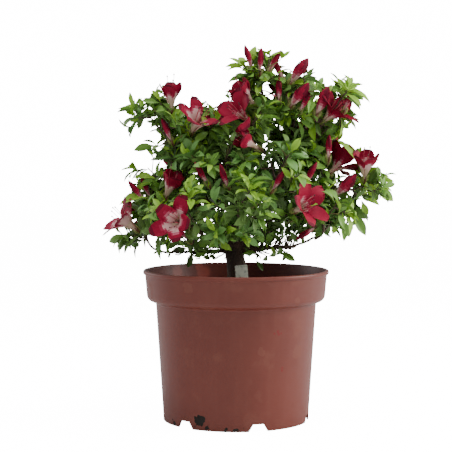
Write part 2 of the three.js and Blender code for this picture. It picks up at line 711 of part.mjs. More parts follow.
// Draws a face out along a row of stations, each with a centre, a direction, a radius and a twist.
// Where the twig bends too sharply, a station turns towards where it came from, and one between
// joints is left out if that isn't enough
function drawTwig(growth, crowd, face, stations, kin) {
  const drawn = [];
  const prisms = [];
  let corners = growth.corners(face);
  for (const { centre, way, radius, twist, joint } of stations) {
    const onward = centre.clone().sub(middleOf(corners)).normalize();
    const turns = EASINGS.map((share) => between(way, onward, share).normalize());
    const rings = turns.map((turn) => ringAfter(corners, centre, turn, radius, twist));
    const ring = rings.find((found) => isSound(corners, found));
    if (!ring) {
      if (joint >= 0) return null;
      continue;
    }
    prisms.push(prismSolid(corners, ring));
    drawn.push({ ring, joint });
    corners = ring;
  }
  if (!prisms.every((prism) => crowd.admits(prism, kin))) return null;
  prisms.forEach((prism) => crowd.add(prism));
  const sides = drawn.map(({ ring, joint }) => ({ joint, faces: growth.draw(face, ring) }));
  return { prisms, collars: sides.filter(({ joint }) => joint >= 0) };
}

// The face of a list that looks most nearly in a direction
function faceTowards(growth, faces, way) {
  const looks = (face) => {
    const [a, b, c] = growth.corners(face);
    return b.clone().sub(a).cross(c.clone().sub(a)).normalize().dot(way);
  };
  return faces.reduce((best, face) => (looks(face) > looks(best) ? face : best));
}

// Stations of a chain of joints: one at each joint, or a collar of two where others branch off
function stationsOf(joints, chain, radiusAt, tipWay) {
  const stations = [];
  chain.forEach((index, i) => {
    const { place, branches } = joints[index];
    const before = i === 0 ? joints[joints[index].parent].place : joints[chain[i - 1]].place;
    const isLast = i === chain.length - 1;
    const way = isLast && tipWay ? tipWay.clone() : place.clone().sub(before).normalize();
    if (!isLast) way.add(joints[chain[i + 1]].place.clone().sub(place).normalize()).normalize();
    const radius = radiusAt((i + 1) / chain.length);
    const isTip = isLast && tipWay;
    if (isTip || branches > 0) {
      const onward = isTip ? place.clone().sub(before).normalize().add(way).normalize() : way;
      stations.push({ centre: along(place, onward, -COLLAR), way: onward, radius, joint: -1 });
      stations.push({ centre: place, way, radius, twist: -Math.PI / 3, joint: index });
    } else {
      stations.push({ centre: place, way, radius, joint: -1 });
    }
  });
  return stations;
}

// Leaves round the collar at a spray's foot, and one at its end where there is no flower
function drawLeaves(growth, crowd, space, spray, prisms, slots, front) {
  const random = seeded(spray.seed);
  const { axis } = spray;
  const places = slots.map((face, i) => ({ face, tilt: i % 2 === 0 ? LOW_TILT : HIGH_TILT }));
  if (spray.flowers.length === 0) places.unshift({ face: front, tilt: TIP_TILT });
  spray.flowers.forEach((flower) => crowd.add(flower));
  const own = [...prisms, ...spray.flowers];
  for (const { face, tilt } of places) {
    const corners = growth.corners(face);
    const root = middleOf(corners);
    const out = face === front
      ? acrossOf(axis)[0].applyAxisAngle(axis, random(0, 2 * Math.PI))
      : root.clone().sub(spray.foot).projectOnPlane(axis).normalize();
    const size = LEAF_LENGTH * random(0.85, 1.1);
    const lean = random(-LEAN_SPREAD, LEAN_SPREAD);
    for (const [change, share] of LEAF_TRIES) {
      const lifted = tilt + lean + change;
      const way = axis.clone().multiplyScalar(Math.cos(lifted)).addScaledVector(out, Math.sin(lifted));
      const up = axis.clone().multiplyScalar(Math.sin(lifted)).addScaledVector(out, -Math.cos(lifted));
      const length = size * share;
      const middle = along(root, way, length * LEAF_WIDEST);
      const tip = along(along(root, way, length), UP, -length * LEAF_DROOP);
      const side = way.clone().cross(up).multiplyScalar((length * LEAF_WIDTH) / 2);
      const blade = [
        middle.clone().add(side), along(middle, up, -length * LEAF_THICKNESS), middle.clone().sub(side),
      ];
      const ring = inStep(corners, blade);
      const spots = [...ring, tip, between(root, tip, 0.3), between(root, tip, 0.8)];
      const isFree = spots.every((spot) => (
        space.holds(spot, LEAF_ROOM) && clearOfLimbs(spot, LEAF_LIMB_ROOM)));
      if (!isFree || !isSound(corners, ring)) continue;
      const solid = leafSolid(corners, ring, tip);
      if (!crowd.admits(solid, spray.flowerRoom, own)) continue;
      crowd.add(solid);
      own.push(solid);
      growth.draw(face, ring);
      growth.close(face, tip);
      break;
    }
  }
}

// A ring's points in the order that follows the corners with the least twist
function inStep(corners, ring) {
  const spread = (points) => {
    const middle = middleOf(points);
    return points.map((point) => point.clone().sub(middle).normalize());
  };
  const from = spread(corners);
  const turns = [0, 1, 2].map((turn) => [0, 1, 2].map((i) => ring[(i + turn) % 3]));
  const match = (points) => spread(points).reduce((sum, way, i) => sum + way.dot(from[i]), 0);
  return turns.reduce((best, points) => (match(points) > match(best) ? points : best));
}

// Two directions across an axis
function acrossOf(axis) {
  const side = axis.clone().cross(UP);
  if (side.lengthSq() < 1e-4) side.set(1, 0, 0);
  side.normalize();
  return [side, side.clone().cross(axis)];
}

// A form turned on a lathe round +Y, stood on its foot along an axis
function standing(profile, sides, foot, axis, shape = () => 1) {
  const points = profile.map(([radius, height]) => new THREE.Vector2(radius, height));
  const form = new THREE.LatheGeometry(points, sides);
  const place = form.attributes.position;
  for (let i = 0; i < place.count; i++) {
    const scale = shape(Math.atan2(place.getX(i), place.getZ(i)), place.getY(i));
    place.setX(i, place.getX(i) * scale);
    place.setZ(i, place.getZ(i) * scale);
  }
  const turn = new THREE.Quaternion().setFromUnitVectors(new THREE.Vector3(0, 1, 0), axis);
  form.applyQuaternion(turn).translate(foot.x, foot.y, foot.z);
  return solidOf(form);
}

// Flowers, grown outwards all round by room
function bloomSolid(foot, axis, room) {
  const { length, rim, throat, notch, depth } = BLOOM;
  const end = length + room;
  const profile = [
    [0, -FLOWER_ROOT - room], [throat + room, length * 0.5],
    [rim + room, end], [0, length * depth + room],
  ];
  return standing(profile, 10, foot, axis, (round, height) => (
    Math.abs(height - end) < NEARBY && Math.cos(5 * round) < 0 ? notch : 1));
}

function halfOpenSolid(foot, axis, room) {
  const { length, rim, throat, depth } = HALF_OPEN;
  const profile = [
    [0, -FLOWER_ROOT - room], [throat + room, length * 0.5], [rim + room, length + room],
    [0, length * depth + room],
  ];
  return standing(profile, 5, foot, axis);
}

function budSolid(foot, axis, room) {
  const profile = [
    [0, -FLOWER_ROOT - room], [BUD.radius + room, BUD.length * 0.6], [0, BUD.length + room],
  ];
  return standing(profile, 5, foot, axis);
}

function sprayFlowers({ foot, axis, form }, room) {
  if (form === 'bloom') return [bloomSolid(foot, axis, room)];
  if (form === 'half') return [halfOpenSolid(foot, axis, room)];
  if (form === 'bud') return [budSolid(foot, axis, room)];
  if (form === 'buds') {
    const [side] = acrossOf(axis);
    return [-1, 1].map((hand) => (
      budSolid(foot, axis.clone().addScaledVector(side, hand * BUD_SPREAD).normalize(), room)));
  }
  return [];
}

// The stem of a mass before anything grows on it, and its stations
function planStem(plan) {
  const { joints, stemEnd, stemRadius } = plan;
  plan.corners = ringRound(joints[0].place, joints[0].way, stemRadius);
  const chain = Array.from({ length: stemEnd }, (_, i) => i + 1);
  plan.stations = stationsOf(joints, chain, (t) => THREE.MathUtils.lerp(stemRadius, twigRadius(3), t));
  let corners = plan.corners;
  plan.stemSolids = plan.stations.map((station) => {
    const { centre, way, radius, twist } = station;
    const ring = ringAfter(corners, centre, way, radius + 2 * GAP, twist);
    const solid = prismSolid(corners, ring);
    corners = ring;
    return solid;
  });
}

// All masses' twigs, with the flowers that find room, before any is made
function planMasses() {
  const plans = Object.keys(MASSES).map((name) => ({ name, ...growMass(name, SPRAYS) }));
  plans.forEach(planStem);
  const crowd = new Crowd([...fatLimbs, ...plans.flatMap((plan) => plan.stemSolids)]);
  for (const spray of plans.flatMap((plan) => plan.sprays)) {
    const room = sprayFlowers(spray, FLOWER_ROOM);
    const isFree = room.every((solid) => crowd.admits(solid));
    spray.flowers = isFree ? sprayFlowers(spray, 0) : [];
    spray.flowerRoom = isFree ? room : [];
    room.filter(() => isFree).forEach((solid) => crowd.add(solid));
  }
  return plans;
}

function makeMass(plan, plans) {
  const { space, joints, sprays, stemEnd, corners, stations } = plan;
  const others = plans.filter((other) => other !== plan);
  const crowd = new Crowd([
    ...fatLimbs,
    ...others.flatMap((other) => other.stemSolids),
    ...plans.flatMap((each) => each.sprays).flatMap((spray) => spray.flowerRoom),
  ]);
  const collars = new Map();
  const ownTwigs = [];
  const keep = (body, drawn) => {
    ownTwigs.push(...drawn.prisms);
    drawn.collars.forEach(({ joint, faces }) => collars.set(joint, { body, faces }));
  };
  const stem = new Growth(corners);
  keep(stem, drawTwig(stem, crowd, 1, stations, []));
  if (collars.has(stemEnd)) collars.get(stemEnd).faces.push(1);

  const grown = [];
  for (const spray of sprays) {
    const collar = collars.get(spray.root);
    if (!collar || collar.faces.length === 0) continue;
    const chain = [spray.joint];
    while (joints[chain[0]].parent !== spray.root) chain.unshift(joints[chain[0]].parent);
    const root = joints[spray.root].place;
    const leaving = joints[chain[0]].place.clone().sub(root).normalize();
    const carried = twigRadius(joints[chain[0]].carries);
    const twigStations = stationsOf(joints, chain, (t) => (
      THREE.MathUtils.lerp(carried, twigRadius(1), t)), spray.axis);
    let { body } = collar;
    let face = faceTowards(body, collar.faces, leaving);
    let drawn = drawTwig(body, crowd, face, twigStations, spray.flowerRoom);
    if (drawn) {
      collar.faces.splice(collar.faces.indexOf(face), 1);
    } else {
      body = new Growth(ringRound(root, leaving, carried));
      face = 1;
      drawn = drawTwig(body, crowd, face, twigStations, [...ownTwigs, ...spray.flowerRoom]);
    }
    if (!drawn) continue;
    keep(body, drawn);
    const slots = collars.get(spray.joint).faces;
    grown.push({ spray, body, prisms: drawn.prisms, slots, front: face });
  }
  for (const { spray, body, prisms, slots, front } of grown) {
    drawLeaves(body, crowd, space, spray, prisms, slots, front);
  }
  const bodies = [...new Set([stem, ...grown.map(({ body }) => body)])].map((body) => body.solid());
  return largestOf(wasm.Manifold.union([...bodies, ...grown.flatMap(({ spray }) => spray.flowers)]));
}

const azalea = new THREE.Group();
azalea.add(meshOf('pot', makePot(), COLOURS.pot, 0.5));
azalea.add(meshOf('soil', makeSoil(), COLOURS.soil, 0.95));
azalea.add(meshOf('tag', tagSolid(0), COLOURS.tag, 0.6));
for (const [name, solid] of makeLimbs()) {
  const node = name === 'trunk' ? 'trunk' : `bough_${name}`;
  azalea.add(meshOf(node, solid, COLOURS.bark, 0.85));
}
const plans = planMasses();
for (const plan of plans) {
  azalea.add(meshOf(`foliage_${plan.name}`, makeMass(plan, plans), COLOURS.foliage, 0.55));
}
azalea.position.set(POT_AXIS[0], POT_AXIS[1], 0);

export default azalea;
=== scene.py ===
"""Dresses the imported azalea: its pot, soil and tag, its bark, twigs, leaves and flowers."""

import json
import math

import bpy
import numpy as np
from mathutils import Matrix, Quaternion, Vector
from mathutils.kdtree import KDTree

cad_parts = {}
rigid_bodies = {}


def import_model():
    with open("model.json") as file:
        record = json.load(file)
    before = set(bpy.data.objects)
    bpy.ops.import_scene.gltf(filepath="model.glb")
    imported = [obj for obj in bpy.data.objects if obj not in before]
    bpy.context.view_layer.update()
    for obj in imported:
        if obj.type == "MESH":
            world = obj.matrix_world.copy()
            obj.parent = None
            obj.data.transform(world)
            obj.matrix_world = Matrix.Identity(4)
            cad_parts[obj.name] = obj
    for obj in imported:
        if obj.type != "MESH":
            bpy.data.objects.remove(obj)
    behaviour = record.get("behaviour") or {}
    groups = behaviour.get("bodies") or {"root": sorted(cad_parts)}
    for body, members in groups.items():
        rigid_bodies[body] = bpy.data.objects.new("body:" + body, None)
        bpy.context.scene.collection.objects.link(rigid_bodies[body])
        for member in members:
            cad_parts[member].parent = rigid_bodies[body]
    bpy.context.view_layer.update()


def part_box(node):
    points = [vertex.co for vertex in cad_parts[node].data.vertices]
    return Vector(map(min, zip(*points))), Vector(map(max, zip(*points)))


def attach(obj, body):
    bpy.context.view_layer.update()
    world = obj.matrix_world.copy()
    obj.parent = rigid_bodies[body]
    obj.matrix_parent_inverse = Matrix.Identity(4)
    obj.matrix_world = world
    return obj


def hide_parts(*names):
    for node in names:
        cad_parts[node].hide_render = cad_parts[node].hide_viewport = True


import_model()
bpy.ops.object.select_all(action="DESELECT")

# Sizes and places are in millimetres from the pot's axis and the ground, and go through MM
MM = 0.001
POT_LOW, POT_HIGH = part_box("pot")
POT_AXIS = Vector(((POT_LOW.x + POT_HIGH.x) / 2, (POT_LOW.y + POT_HIGH.y) / 2, 0))
UP = Vector((0, 0, 1))
TO_CAMERA = Vector((0, -1, 0))
GOLDEN_TURN = math.radians(137.5)

# Each random number is the last one times the factor, within the limit, as in the solids
DRAW_FACTOR = 48271
DRAW_LIMIT = 2147483647

# Pot
POT_HEIGHT = 178
LIP_RADIUS = 110
LIP_HEIGHT = 4.5
BAND_TOP_RADIUS = 107.8
BAND_FOOT_RADIUS = 105.5
BAND_FOOT = 146.5
SHOULDER_FOOT = 140
BODY_TOP_RADIUS = 95
FOOT_RADIUS = 86.3
WALL = 1.5
FOOT_WALL = 2.2
FLOOR_UNDERSIDE = 9
FLOOR_TOP = 11.2
POT_SIDES = 180
AXIS_GAP = 0.5
FILLET_STEPS = 4
LONGEST_FILLET = 0.48
NOTCHES = 6
FIRST_NOTCH = -43
NOTCH_WIDTH = 23
NOTCH_SLANT = 5
NOTCH_HEIGHT = 8.5
CUT_DEPTH = 12
DRAIN_RADIUS = 6
DRAIN_PLACE = 66
DRAIN_SIDES = 32

# Marks on the pot's front: the places, across and up, and the radius of each
DIRT = [((-42, 12), 5), ((-34, 4), 1.8), ((-12, 2), 2), ((0, 2), 2), ((-72, 4), 2.5)]
SCRATCHES = [
    ((43, 112), 1.2), ((47, 114), 1.3), ((48, 111), 1.3), ((51, 112), 1), ((52, 69), 1.2),
    ((52.5, 72), 1.2),
]
DUST = [((-54, 165), 5), ((69, 148), 4), ((28, 92), 3.5), ((70, 88), 6)]
MARK_SPREAD = 1.3
EDGE_PATCHES = 170

# Patches of painted light on the pot's back wall, as seen inside the pot
PAINTED_LIGHT_INSIDE = [((-40, 166), 13), ((-46, 174), 7), ((-72, 168), 12)]
PAINTED_LIGHT_CORE = 0.3

# Soil
SOIL_TOP = 152
SOIL_EDGE = 149.5
SOIL_MOUND = 34
SOIL_ROOM = 0.4
SOIL_RINGS = 34
SOIL_SIDES = 110
SOIL_LEVEL = 0.62
# The relief of the soil's top: the size and strength of each kind of lump
SOIL_RELIEF = {"lumps": (14, 3), "grains": (4.5, 2.4), "fines": (1.8, 1.2)}
# Loose bits on the soil: how many, their smallest and largest size, and their colour
SOIL_BITS = {
    "soil_crumbs": (900, (0.8, 2.6), (0.035, 0.02, 0.013)),
    "soil_chips": (90, (1.8, 4.4), (0.11, 0.06, 0.032)),
}
BITS_REACH = 101
BITS_SIDES = 5
BITS_SEED = 77
# The soil under the bits rises from the first radius to the second
BITS_SLOPE = (103, 33)

# Tag
TAG_WIDTH = 14.8
TAG_TOP = 185
TAG_LENGTH = 72
TAG_POINT = 14
TAG_FOOT = 4
TAG_THICKNESS = 0.84
TAG_PLACE = (8.6, -23)
TAG_LEAN = -5
TAG_CORNER = 1.1
TAG_EDGE = 0.12

# Trunk and boughs, as in the solids: what each bough grows from and how far along it, its tip,
# how far its middle is lifted, and its radius at each end
TRUNK_FOOT = (5, 0, 152.3)
TRUNK_TOP = (-3, 0, 216)
TRUNK_BOW = -1.5
TRUNK_RADII = (12.6, 10.8)
BOUGHS = {
    "left": ("trunk", 0.97, (-66, 0, 314), -10, (5, 2.6)),
    "leader": ("trunk", 0.99, (8, 10, 296), 0, (6.2, 4)),
    "right": ("trunk", 0.96, (56, 4, 292), -14, (5.4, 3.4)),
    "low_left": ("trunk", 0.8, (-90, -12, 201), -2, (2.9, 1.3)),
    "low_right": ("trunk", 0.85, (94, -20, 216), -8, (3.4, 1.4)),
    "front_left": ("trunk", 0.88, (-40, -46, 222), -8, (3.2, 2)),
    "centre_front": ("trunk", 0.93, (4, -50, 234), -8, (3.2, 2)),
    "back_left": ("trunk", 0.9, (-44, 48, 232), -8, (3.6, 2.2)),
    "back": ("trunk", 0.95, (6, 58, 256), -8, (3.6, 2.2)),
    "back_right": ("trunk", 0.86, (54, 46, 232), -8, (3.6, 2.2)),
    "mid_left": ("left", 0.42, (-62, 12, 266), -4, (2.8, 1.9)),
    "left_shoulder": ("left", 0.62, (-36, 14, 316), 0, (2.8, 1.9)),
    "heart": ("leader", 0.45, (-8, -26, 282), -4, (2.8, 1.9)),
    "upper_middle": ("leader", 0.8, (14, -22, 330), -2, (2.8, 1.9)),
    "top": ("leader", 1, (30, 2, 368), -4, (3.4, 2)),
    "right_front": ("leader", 0.3, (36, -34, 268), -5, (2.8, 1.9)),
    "upper_right": ("right", 1, (68, 2, 350), 0, (3, 1.9)),
    "right_shoulder": ("right", 0.86, (98, 2, 344), -6, (2.8, 1.9)),
    "mid_right": ("right", 0.78, (74, 10, 304), -4, (2.6, 1.9)),
    "far_right": ("right", 0.34, (108, -6, 264), -4, (3, 2)),
    "back_top": ("leader", 0.7, (12, 42, 330), -4, (2.8, 1.9)),
    "back_shoulder_left": ("left", 0.52, (-44, 46, 304), -4, (2.8, 1.9)),
    "back_shoulder_right": ("right", 0.7, (70, 44, 310), -4, (2.8, 1.9)),
}
BEAD_STEP = 3
VOXEL = 0.85
LIMB_SIDES = 4
LIMB_STEPS = 16
LIMB_BOW = 1.05
# Flares at the trunk's foot: where on the trunk they start, how they leave it, and where they end
ROOT_FLARES = 5
FLARE_START = 0.3
FLARE_LEAVE = 4
FLARE_KNEE = 7
FLARE_REACH = 9
FLARE_SINK = 1.5
FLARE_TURN = 0.4
FLARE_RADII = (7, 5.2)
# The bark's relief: the size and strength of each kind, its pace upwards against its pace across,
# and the way it pushes
BARK_RELIEF = {
    "sway_x": (24, 7, 1, "X"),
    "sway_y": (21, 7, 1, "Y"),
    "sway_z": (22, 6, 1, "Z"),
    "knobs": (11, 1.6, 0.6, "NORMAL"),
    "ridges": (3.2, 1.3, 0.25, "NORMAL"),
    "flakes": (1.8, 0.6, 0.5, "NORMAL"),
}

# Masses of twigs and leaves: the bough that each grows on from, its centre and its reach
MASSES = {
    "low_left": ("low_left", (-114, -10, 240), (48, 46, 42)),
    "front_left": ("front_left", (-64, -66, 244), (48, 48, 46)),
    "upper_left": ("left", (-94, -6, 350), (50, 46, 48)),
    "left_shoulder": ("left_shoulder", (-46, 4, 350), (40, 46, 42)),
    "mid_left": ("mid_left", (-84, 8, 292), (46, 46, 38)),
    "centre_front": ("centre_front", (0, -82, 250), (54, 50, 48)),
    "heart": ("heart", (-18, -36, 304), (50, 50, 42)),
    "top": ("top", (28, 0, 410), (44, 42, 42)),
    "upper_middle": ("upper_middle", (8, -32, 362), (40, 46, 42)),
    "upper_right": ("upper_right", (68, -4, 382), (42, 44, 42)),
    "right_shoulder": ("right_shoulder", (118, 0, 368), (46, 44, 44)),
    "mid_right": ("mid_right", (98, 4, 318), (44, 46, 38)),
    "far_right": ("far_right", (146, -8, 276), (46, 46, 44)),
    "low_right": ("low_right", (104, -44, 240), (52, 50, 44)),
    "right_front": ("right_front", (48, -48, 292), (46, 48, 46)),
    "back_left": ("back_left", (-76, 70, 262), (56, 54, 52)),
    "back": ("back", (6, 88, 288), (58, 48, 56)),
    "back_right": ("back_right", (88, 68, 270), (56, 54, 52)),
    "back_top": ("back_top", (14, 52, 372), (46, 44, 44)),
    "back_shoulder_left": ("back_shoulder_left", (-56, 56, 334), (46, 44, 42)),
    "back_shoulder_right": ("back_shoulder_right", (80, 54, 344), (46, 44, 44)),
}

# Flowers and furthest shoots that the front shows: what each is, its foot and the way it faces.
# Some shoots have their own leaves: the tint and tip of each, and how far it lies to the sky
SHOWN = [
    ("bloom", (-112, -16, 222), (-0.75, -0.25, 0.62)),
    ("bloom", (-60, -66, 237), (-0.3, -0.95, 0.1)),
    ("bloom", (-54, -10, 336), (0.4, -0.6, 0.7)),
    ("red", (20, -24, 349), (-0.62, -0.62, 0.48)),
    ("red", (62, -54, 248), (0.64, -0.7, 0.3)),
    ("red", (99, 4, 349), (0.66, -0.3, 0.6)),
    ("red", (108, 6, 287), (0.6, 0.35, 0.72)),
    ("half", (-76, -8, 360), (0.03, -0.2, 0.98)),
    ("half", (24, -10, 368), (-0.62, -0.3, 0.72)),
    ("half", (150, -12, 281), (0.05, -0.35, 0.94)),
    ("bud", (97, -24, 233), (-0.78, -0.3, -0.5)),
    ("half", (30, -46, 318), (-0.8, -0.4, 0.5)),
    ("half", (-84, -24, 259), (0.36, -0.35, 0.87)),
    ("plump", (60, -14, 366), (0.6, -0.25, 0.76)),
    ("plump", (92, -8, 356), (0.4, -0.15, 0.9)),
    ("plump", (112, -16, 262), (0.69, -0.15, 0.7)),
    ("plump", (61, -2, 394), (0.57, -0.15, 0.8)),
    ("bud", (20, -6, 409), (-0.28, -0.05, 0.96)),
    ("bud", (27, -12, 404), (0.07, -0.1, 0.99)),
    ("bud", (35, -4, 406), (0.5, -0.1, 0.86)),
    ("bud", (57, 2, 396), (-0.36, -0.05, 0.93)),
    ("bud", (50, -14, 370), (0, -0.1, 0.99)),
    ("bud", (71, -14, 359), (0.48, -0.15, 0.86)),
    ("bud", (97, 0, 364), (0.2, 0, 0.98)),
    ("bud", (125, 0, 361), (0.4, -0.1, 0.9)),
    ("bud", (108, -8, 303), (0.04, -0.1, 0.99)),
    ("bud", (76, -46, 275), (0.46, -0.2, 0.86)),
    ("bud", (38, -60, 269), (0.5, -0.3, 0.8)),
    ("bud", (-8, -64, 271), (-0.3, -0.2, 0.93)),
    ("bud", (-30, -56, 276), (-0.5, -0.2, 0.85)),
    ("bud", (-74, -12, 325), (-0.37, -0.15, 0.92)),
    ("bud", (-106, -4, 256), (-0.6, -0.1, 0.8)),
    ("bud", (-99, 0, 258), (-0.4, 0, 0.92)),
    ("bud", (-52, -50, 212), (-0.6, -0.3, 0.74)),
    ("leaves", (14, 0, 417), (-0.85, -0.2, 0.45), [
        ("young", (-12, 418), 1),
        ("young", (2, 424), 0.4),
        ("young", (23, 441), 0.1),
    ]),
    ("leaves", (15, -6, 406), (-0.9, -0.35, 0.2), [
        ("mid", (-8, 398), 1.5),
        ("mid", (0, 408), 0.4),
    ]),
    ("leaves", (88, -6, 400), (0.75, -0.3, 0.55), [
        ("young", (69, 399), 0.3),
        ("mid", (104, 391), 0.6),
    ]),
    ("leaves", (104, -10, 384), (0.35, -0.4, 0.85), [
        ("mid", (88, 398), 0.3),
        ("mid", (88, 385), 0.2),
        ("young", (112, 396), 0.5),
    ]),
    ("leaves", (127, -6, 386), (0.45, -0.2, 0.87), [
        ("young", (158, 379), 2),
        ("mid", (152, 381), 0.3),
        ("young", (144, 398), 0.2),
        ("young", (119, 403), 1),
        ("mid", (143, 371), 1.5),
        ("mid", (112, 392), 0.3),
    ]),
    ("leaves", (127, 4, 358), (0.95, -0.1, 0.2), [
        ("deep", (142, 359), 2),
        ("deep", (143, 346), 1.5),
    ]),
    ("leaves", (118, -4, 332), (0.95, -0.1, 0.3), [
        ("young", (130, 325), 0.3),
        ("young", (123, 343), 0.2),
        ("young", (140, 305), 2),
    ]),
    ("leaves", (163, -6, 281), (0.85, -0.2, 0.45), [
        ("young", (185, 281), 0.8),
        ("young", (185, 260), 0.3),
        ("mid", (167, 300), 0.1),
    ]),
    ("leaves", (147, -6, 262), (0.9, -0.2, 0.1), [
        ("young", (171, 257), 0.8),
        ("deep", (163, 266), 2),
        ("young", (153, 238), 0.8),
    ]),
    ("leaves", (136, -12, 250), (0.8, -0.3, 0.3), [
        ("deep", (144, 236), 0.3),
        ("mid", (151, 220), 0.6),
        ("blue_sheen", (110, 243), 0.1),
    ]),
    ("leaves", (120, -34, 240), (0.85, -0.3, -0.3), [
        ("mid", (134, 218), 0.4),
        ("mid", (127, 214), 1.5),
        ("young", (112, 222), 0.3),
    ]),
    ("leaves", (-122, -10, 217), (-0.9, -0.3, -0.15), [
        ("mid", (-152, 214), 0.5),
        ("mid", (-143, 205), 0.2),
        ("deep", (-138, 202), 1.5),
    ]),
    ("leaves", (-102, -8, 263), (-0.85, -0.2, 0.3), [
        ("young", (-137, 257), 1.5),
        ("young", (-95, 247), 0.2),
    ]),
    ("leaves", (-92, -6, 284), (-0.85, -0.2, 0.4), [
        ("young", (-120, 291), 1.5),
        ("mid", (-112, 279), 0.2),
        ("young", (-119, 272), 1.5),
        ("young", (-88, 296), 0.8),
    ]),
    ("leaves", (-108, -8, 364), (-0.75, -0.3, 0.5), [
        ("young", (-132, 373), 1.5),
        ("mid", (-138, 362), 1.5),
        ("young", (-115, 380), 0.1),
        ("young", (-124, 353), 0.1),
        ("deep", (-115, 345), 0.3),
    ]),
    ("leaves", (-88, -14, 374), (-0.2, -0.4, 0.9), [
        ("young", (-98, 389), 0.8),
        ("mid", (-109, 376), 0.5),
        ("mid", (-70, 366), 0.2),
    ]),
    ("leaves", (-80, -6, 308), (-0.85, -0.3, 0.2), [
        ("deep", (-100, 308), 0.8),
        ("deep", (-84, 322), 0.4),
    ]),
    ("leaves", (-93, -8, 325), (-0.8, -0.3, 0.5), [
        ("mid", (-119, 319), 0.5),
        ("deep", (-108, 334), 2),
    ]),
    ("leaves", (-36, -50, 304), (-0.2, -0.6, 0.75)),
    ("leaves", (-12, -64, 232), (-0.3, -0.7, 0.5)),
    ("leaves", (4, -96, 262), (0, -0.6, 0.8)),
    ("leaves", (-24, -4, 364), (-0.3, -0.3, 0.9)),
]

# How the twigs of a mass branch
STEM_STEPS = 4
STEM_SHARE = 0.72
STEM_BEND = 0.4
TWIG_STEPS = 3
SHORTEST_TWIG = 12
TURN_COST = 0.7
RUN_COST = 0.12
TWIG_BEND = 0.33
TWIG_SPLAY = 1.5
CROWN_CENTRE = (0, 0, 262)
SPRAY_LEAN = (0.6, 0.5, 0.4)
LOWEST_LEAF = 182
BACK_STARTS = 40
BACK_EVERY = 5
BACK_FLOWERS = ("bloom", "half", "buds")
FILL_STEPS = (0.8191725134, 0.6710436067, 0.5497004779)
NEAREST_TIP = 0.36
FURTHEST_TIP = 0.8
FOOT_ROOM = 3
TWIG_ROOM = 2
LIMB_ROOM = 1.8
TWIG_TESTS = 6

# What is grown here beyond the solids: more sprays to a mass, and side shoots on their twigs
SPRAYS = 15
BACK_SPRAYS = 21
MOST_TRIES = 90
SIDE_SHOOT_PLACE = (0.37, 0.53)
SIDE_SHOOT_LENGTH = (12, 22)
TWIG_RADIUS = 0.55
TWIG_TIP = 0.7
TWIG_TAPER = 0.7
TWIG_SWELL = 0.34
TWIG_SIDES = 6
TWIG_RINGS = 7
TWIG_KINK = 0.8
SHOOT_RADIUS = 0.75
LOW_SHOOT_RADIUS = 0.9
SHOOT_TAPER = (1, 0.9, 0.83, 0.76, 0.66)
SHOOT_KINK = 0.4
SHOOT_SIDES = 5
STEM_RINGS = 9
STEM_SIDES = 8
STEM_CARRIES = 3
TUBE_TIP = 0.6
HEADING_STEP = 0.03
LOW_SHOOT_SEED = 5
SPUR_SEED = 11

# The crown's outline from the front, on the upright plane through the pot's axis
OUTLINE = [
    (-60, 186), (-104, 196), (-136, 205), (-160, 224), (-160, 268), (-126, 282), (-134, 300),
    (-110, 326), (-140, 352), (-142, 372), (-112, 398), (-84, 400), (-58, 392), (-40, 378),
    (-26, 368), (-14, 384), (0, 402), (-18, 424), (-8, 434), (14, 444), (40, 444), (76, 424),
    (84, 410), (112, 406), (142, 402), (160, 388), (150, 368), (132, 352), (142, 338),
    (154, 318), (188, 292), (188, 262), (160, 246), (150, 236), (118, 222), (92, 210),
    (60, 200), (70, 184), (0, 180),
]
# Sky that shows through or beside it: the middle and radius of each gap on that plane
SKY = [
    ((-111, 308), 11), ((135, 339), 10), ((-26, 381), 10), ((161, 248), 9), ((76, 196), 8),
    ((-57, 383), 8), ((137, 325), 7), ((-98, 302), 7), ((62, 423), 7), ((-106, 388), 6),
    ((-130, 359), 6), ((-109, 344), 6), ((-97, 334), 8), ((-88, 322), 5), ((36, 392), 8),
    ((42, 382), 5), ((76, 354), 5), ((174, 299), 6), ((-4, 409), 6), ((139, 369), 5),
    ((3, 197), 13), ((44, 446), 13), ((-99, 215), 6), ((-66, 193), 6), ((-83, 304), 5),
    ((-12, 395), 6), ((150, 258), 6),
]
# The camera's place
EYE = Vector((-11.8, -1650, 316))

# Leaves
# The green and roughness of each tint. The bluish-green tint stands for the sky's sheen on leaves,
# a painted sheen; the deep tint is painted shade for leaves inside and low in the crown
LEAF_TINTS = {
    "mid": ((0.125, 0.268, 0.036), 0.5),
    "blue_sheen": ((0.105, 0.235, 0.052), 0.46),
    "young": ((0.23, 0.42, 0.035), 0.5),
    "deep": ((0.088, 0.17, 0.034), 0.5),
}
LEAF_LENGTH = (21, 32)
LEAF_WIDTH = 0.4
LEAF_CURL = (0.3, 1.1)
LEAF_FOLD = (0.2, 0.75)
LEAF_BREADTH = (0.86, 1.14)
LEAF_SWAY = (-0.28, 0.28)
SHORTER_LEAF = 0.8
LEAF_THICKNESS = 0.22
LEAF_COLUMNS = 5
LEAF_ROWS = 6
INNER_TILT = 0.35
OUTER_TILT = 1.3
ROSETTE = (5, 8)
SIDE_ROSETTE = (3, 5)
FLOWER_ROSETTE = 5
ROSETTE_DEPTH = 5
YOUNGEST_LEAF = 0.7
LEAF_TURN = 0.7
SHOWN_TURN = 0.5
TWIG_LEAVES = 5
TWIG_LEAF_PLACES = (0.2, 0.8)
LOW_LEAF_LENGTH = (13, 19)
TUFT_LEAF_LENGTH = (10, 15)
# Size of the leaves below a flower, at a side shoot's end and along a twig, against the others
FLOWER_LEAF_SIZE = 0.9
SIDE_LEAF_SIZE = 0.85
TWIG_LEAF_SIZE = 0.9
# How far a leaf's middle and tip and a side shoot may reach, as a share of their mass's reach
MIDDLE_REACH = 1.05
TIP_REACH = 1.25
SHOOT_REACH = 1.02
LEAF_LIMB_ROOM = 1.2
LEAF_DROP = 2
SPUR_ROOM = 8

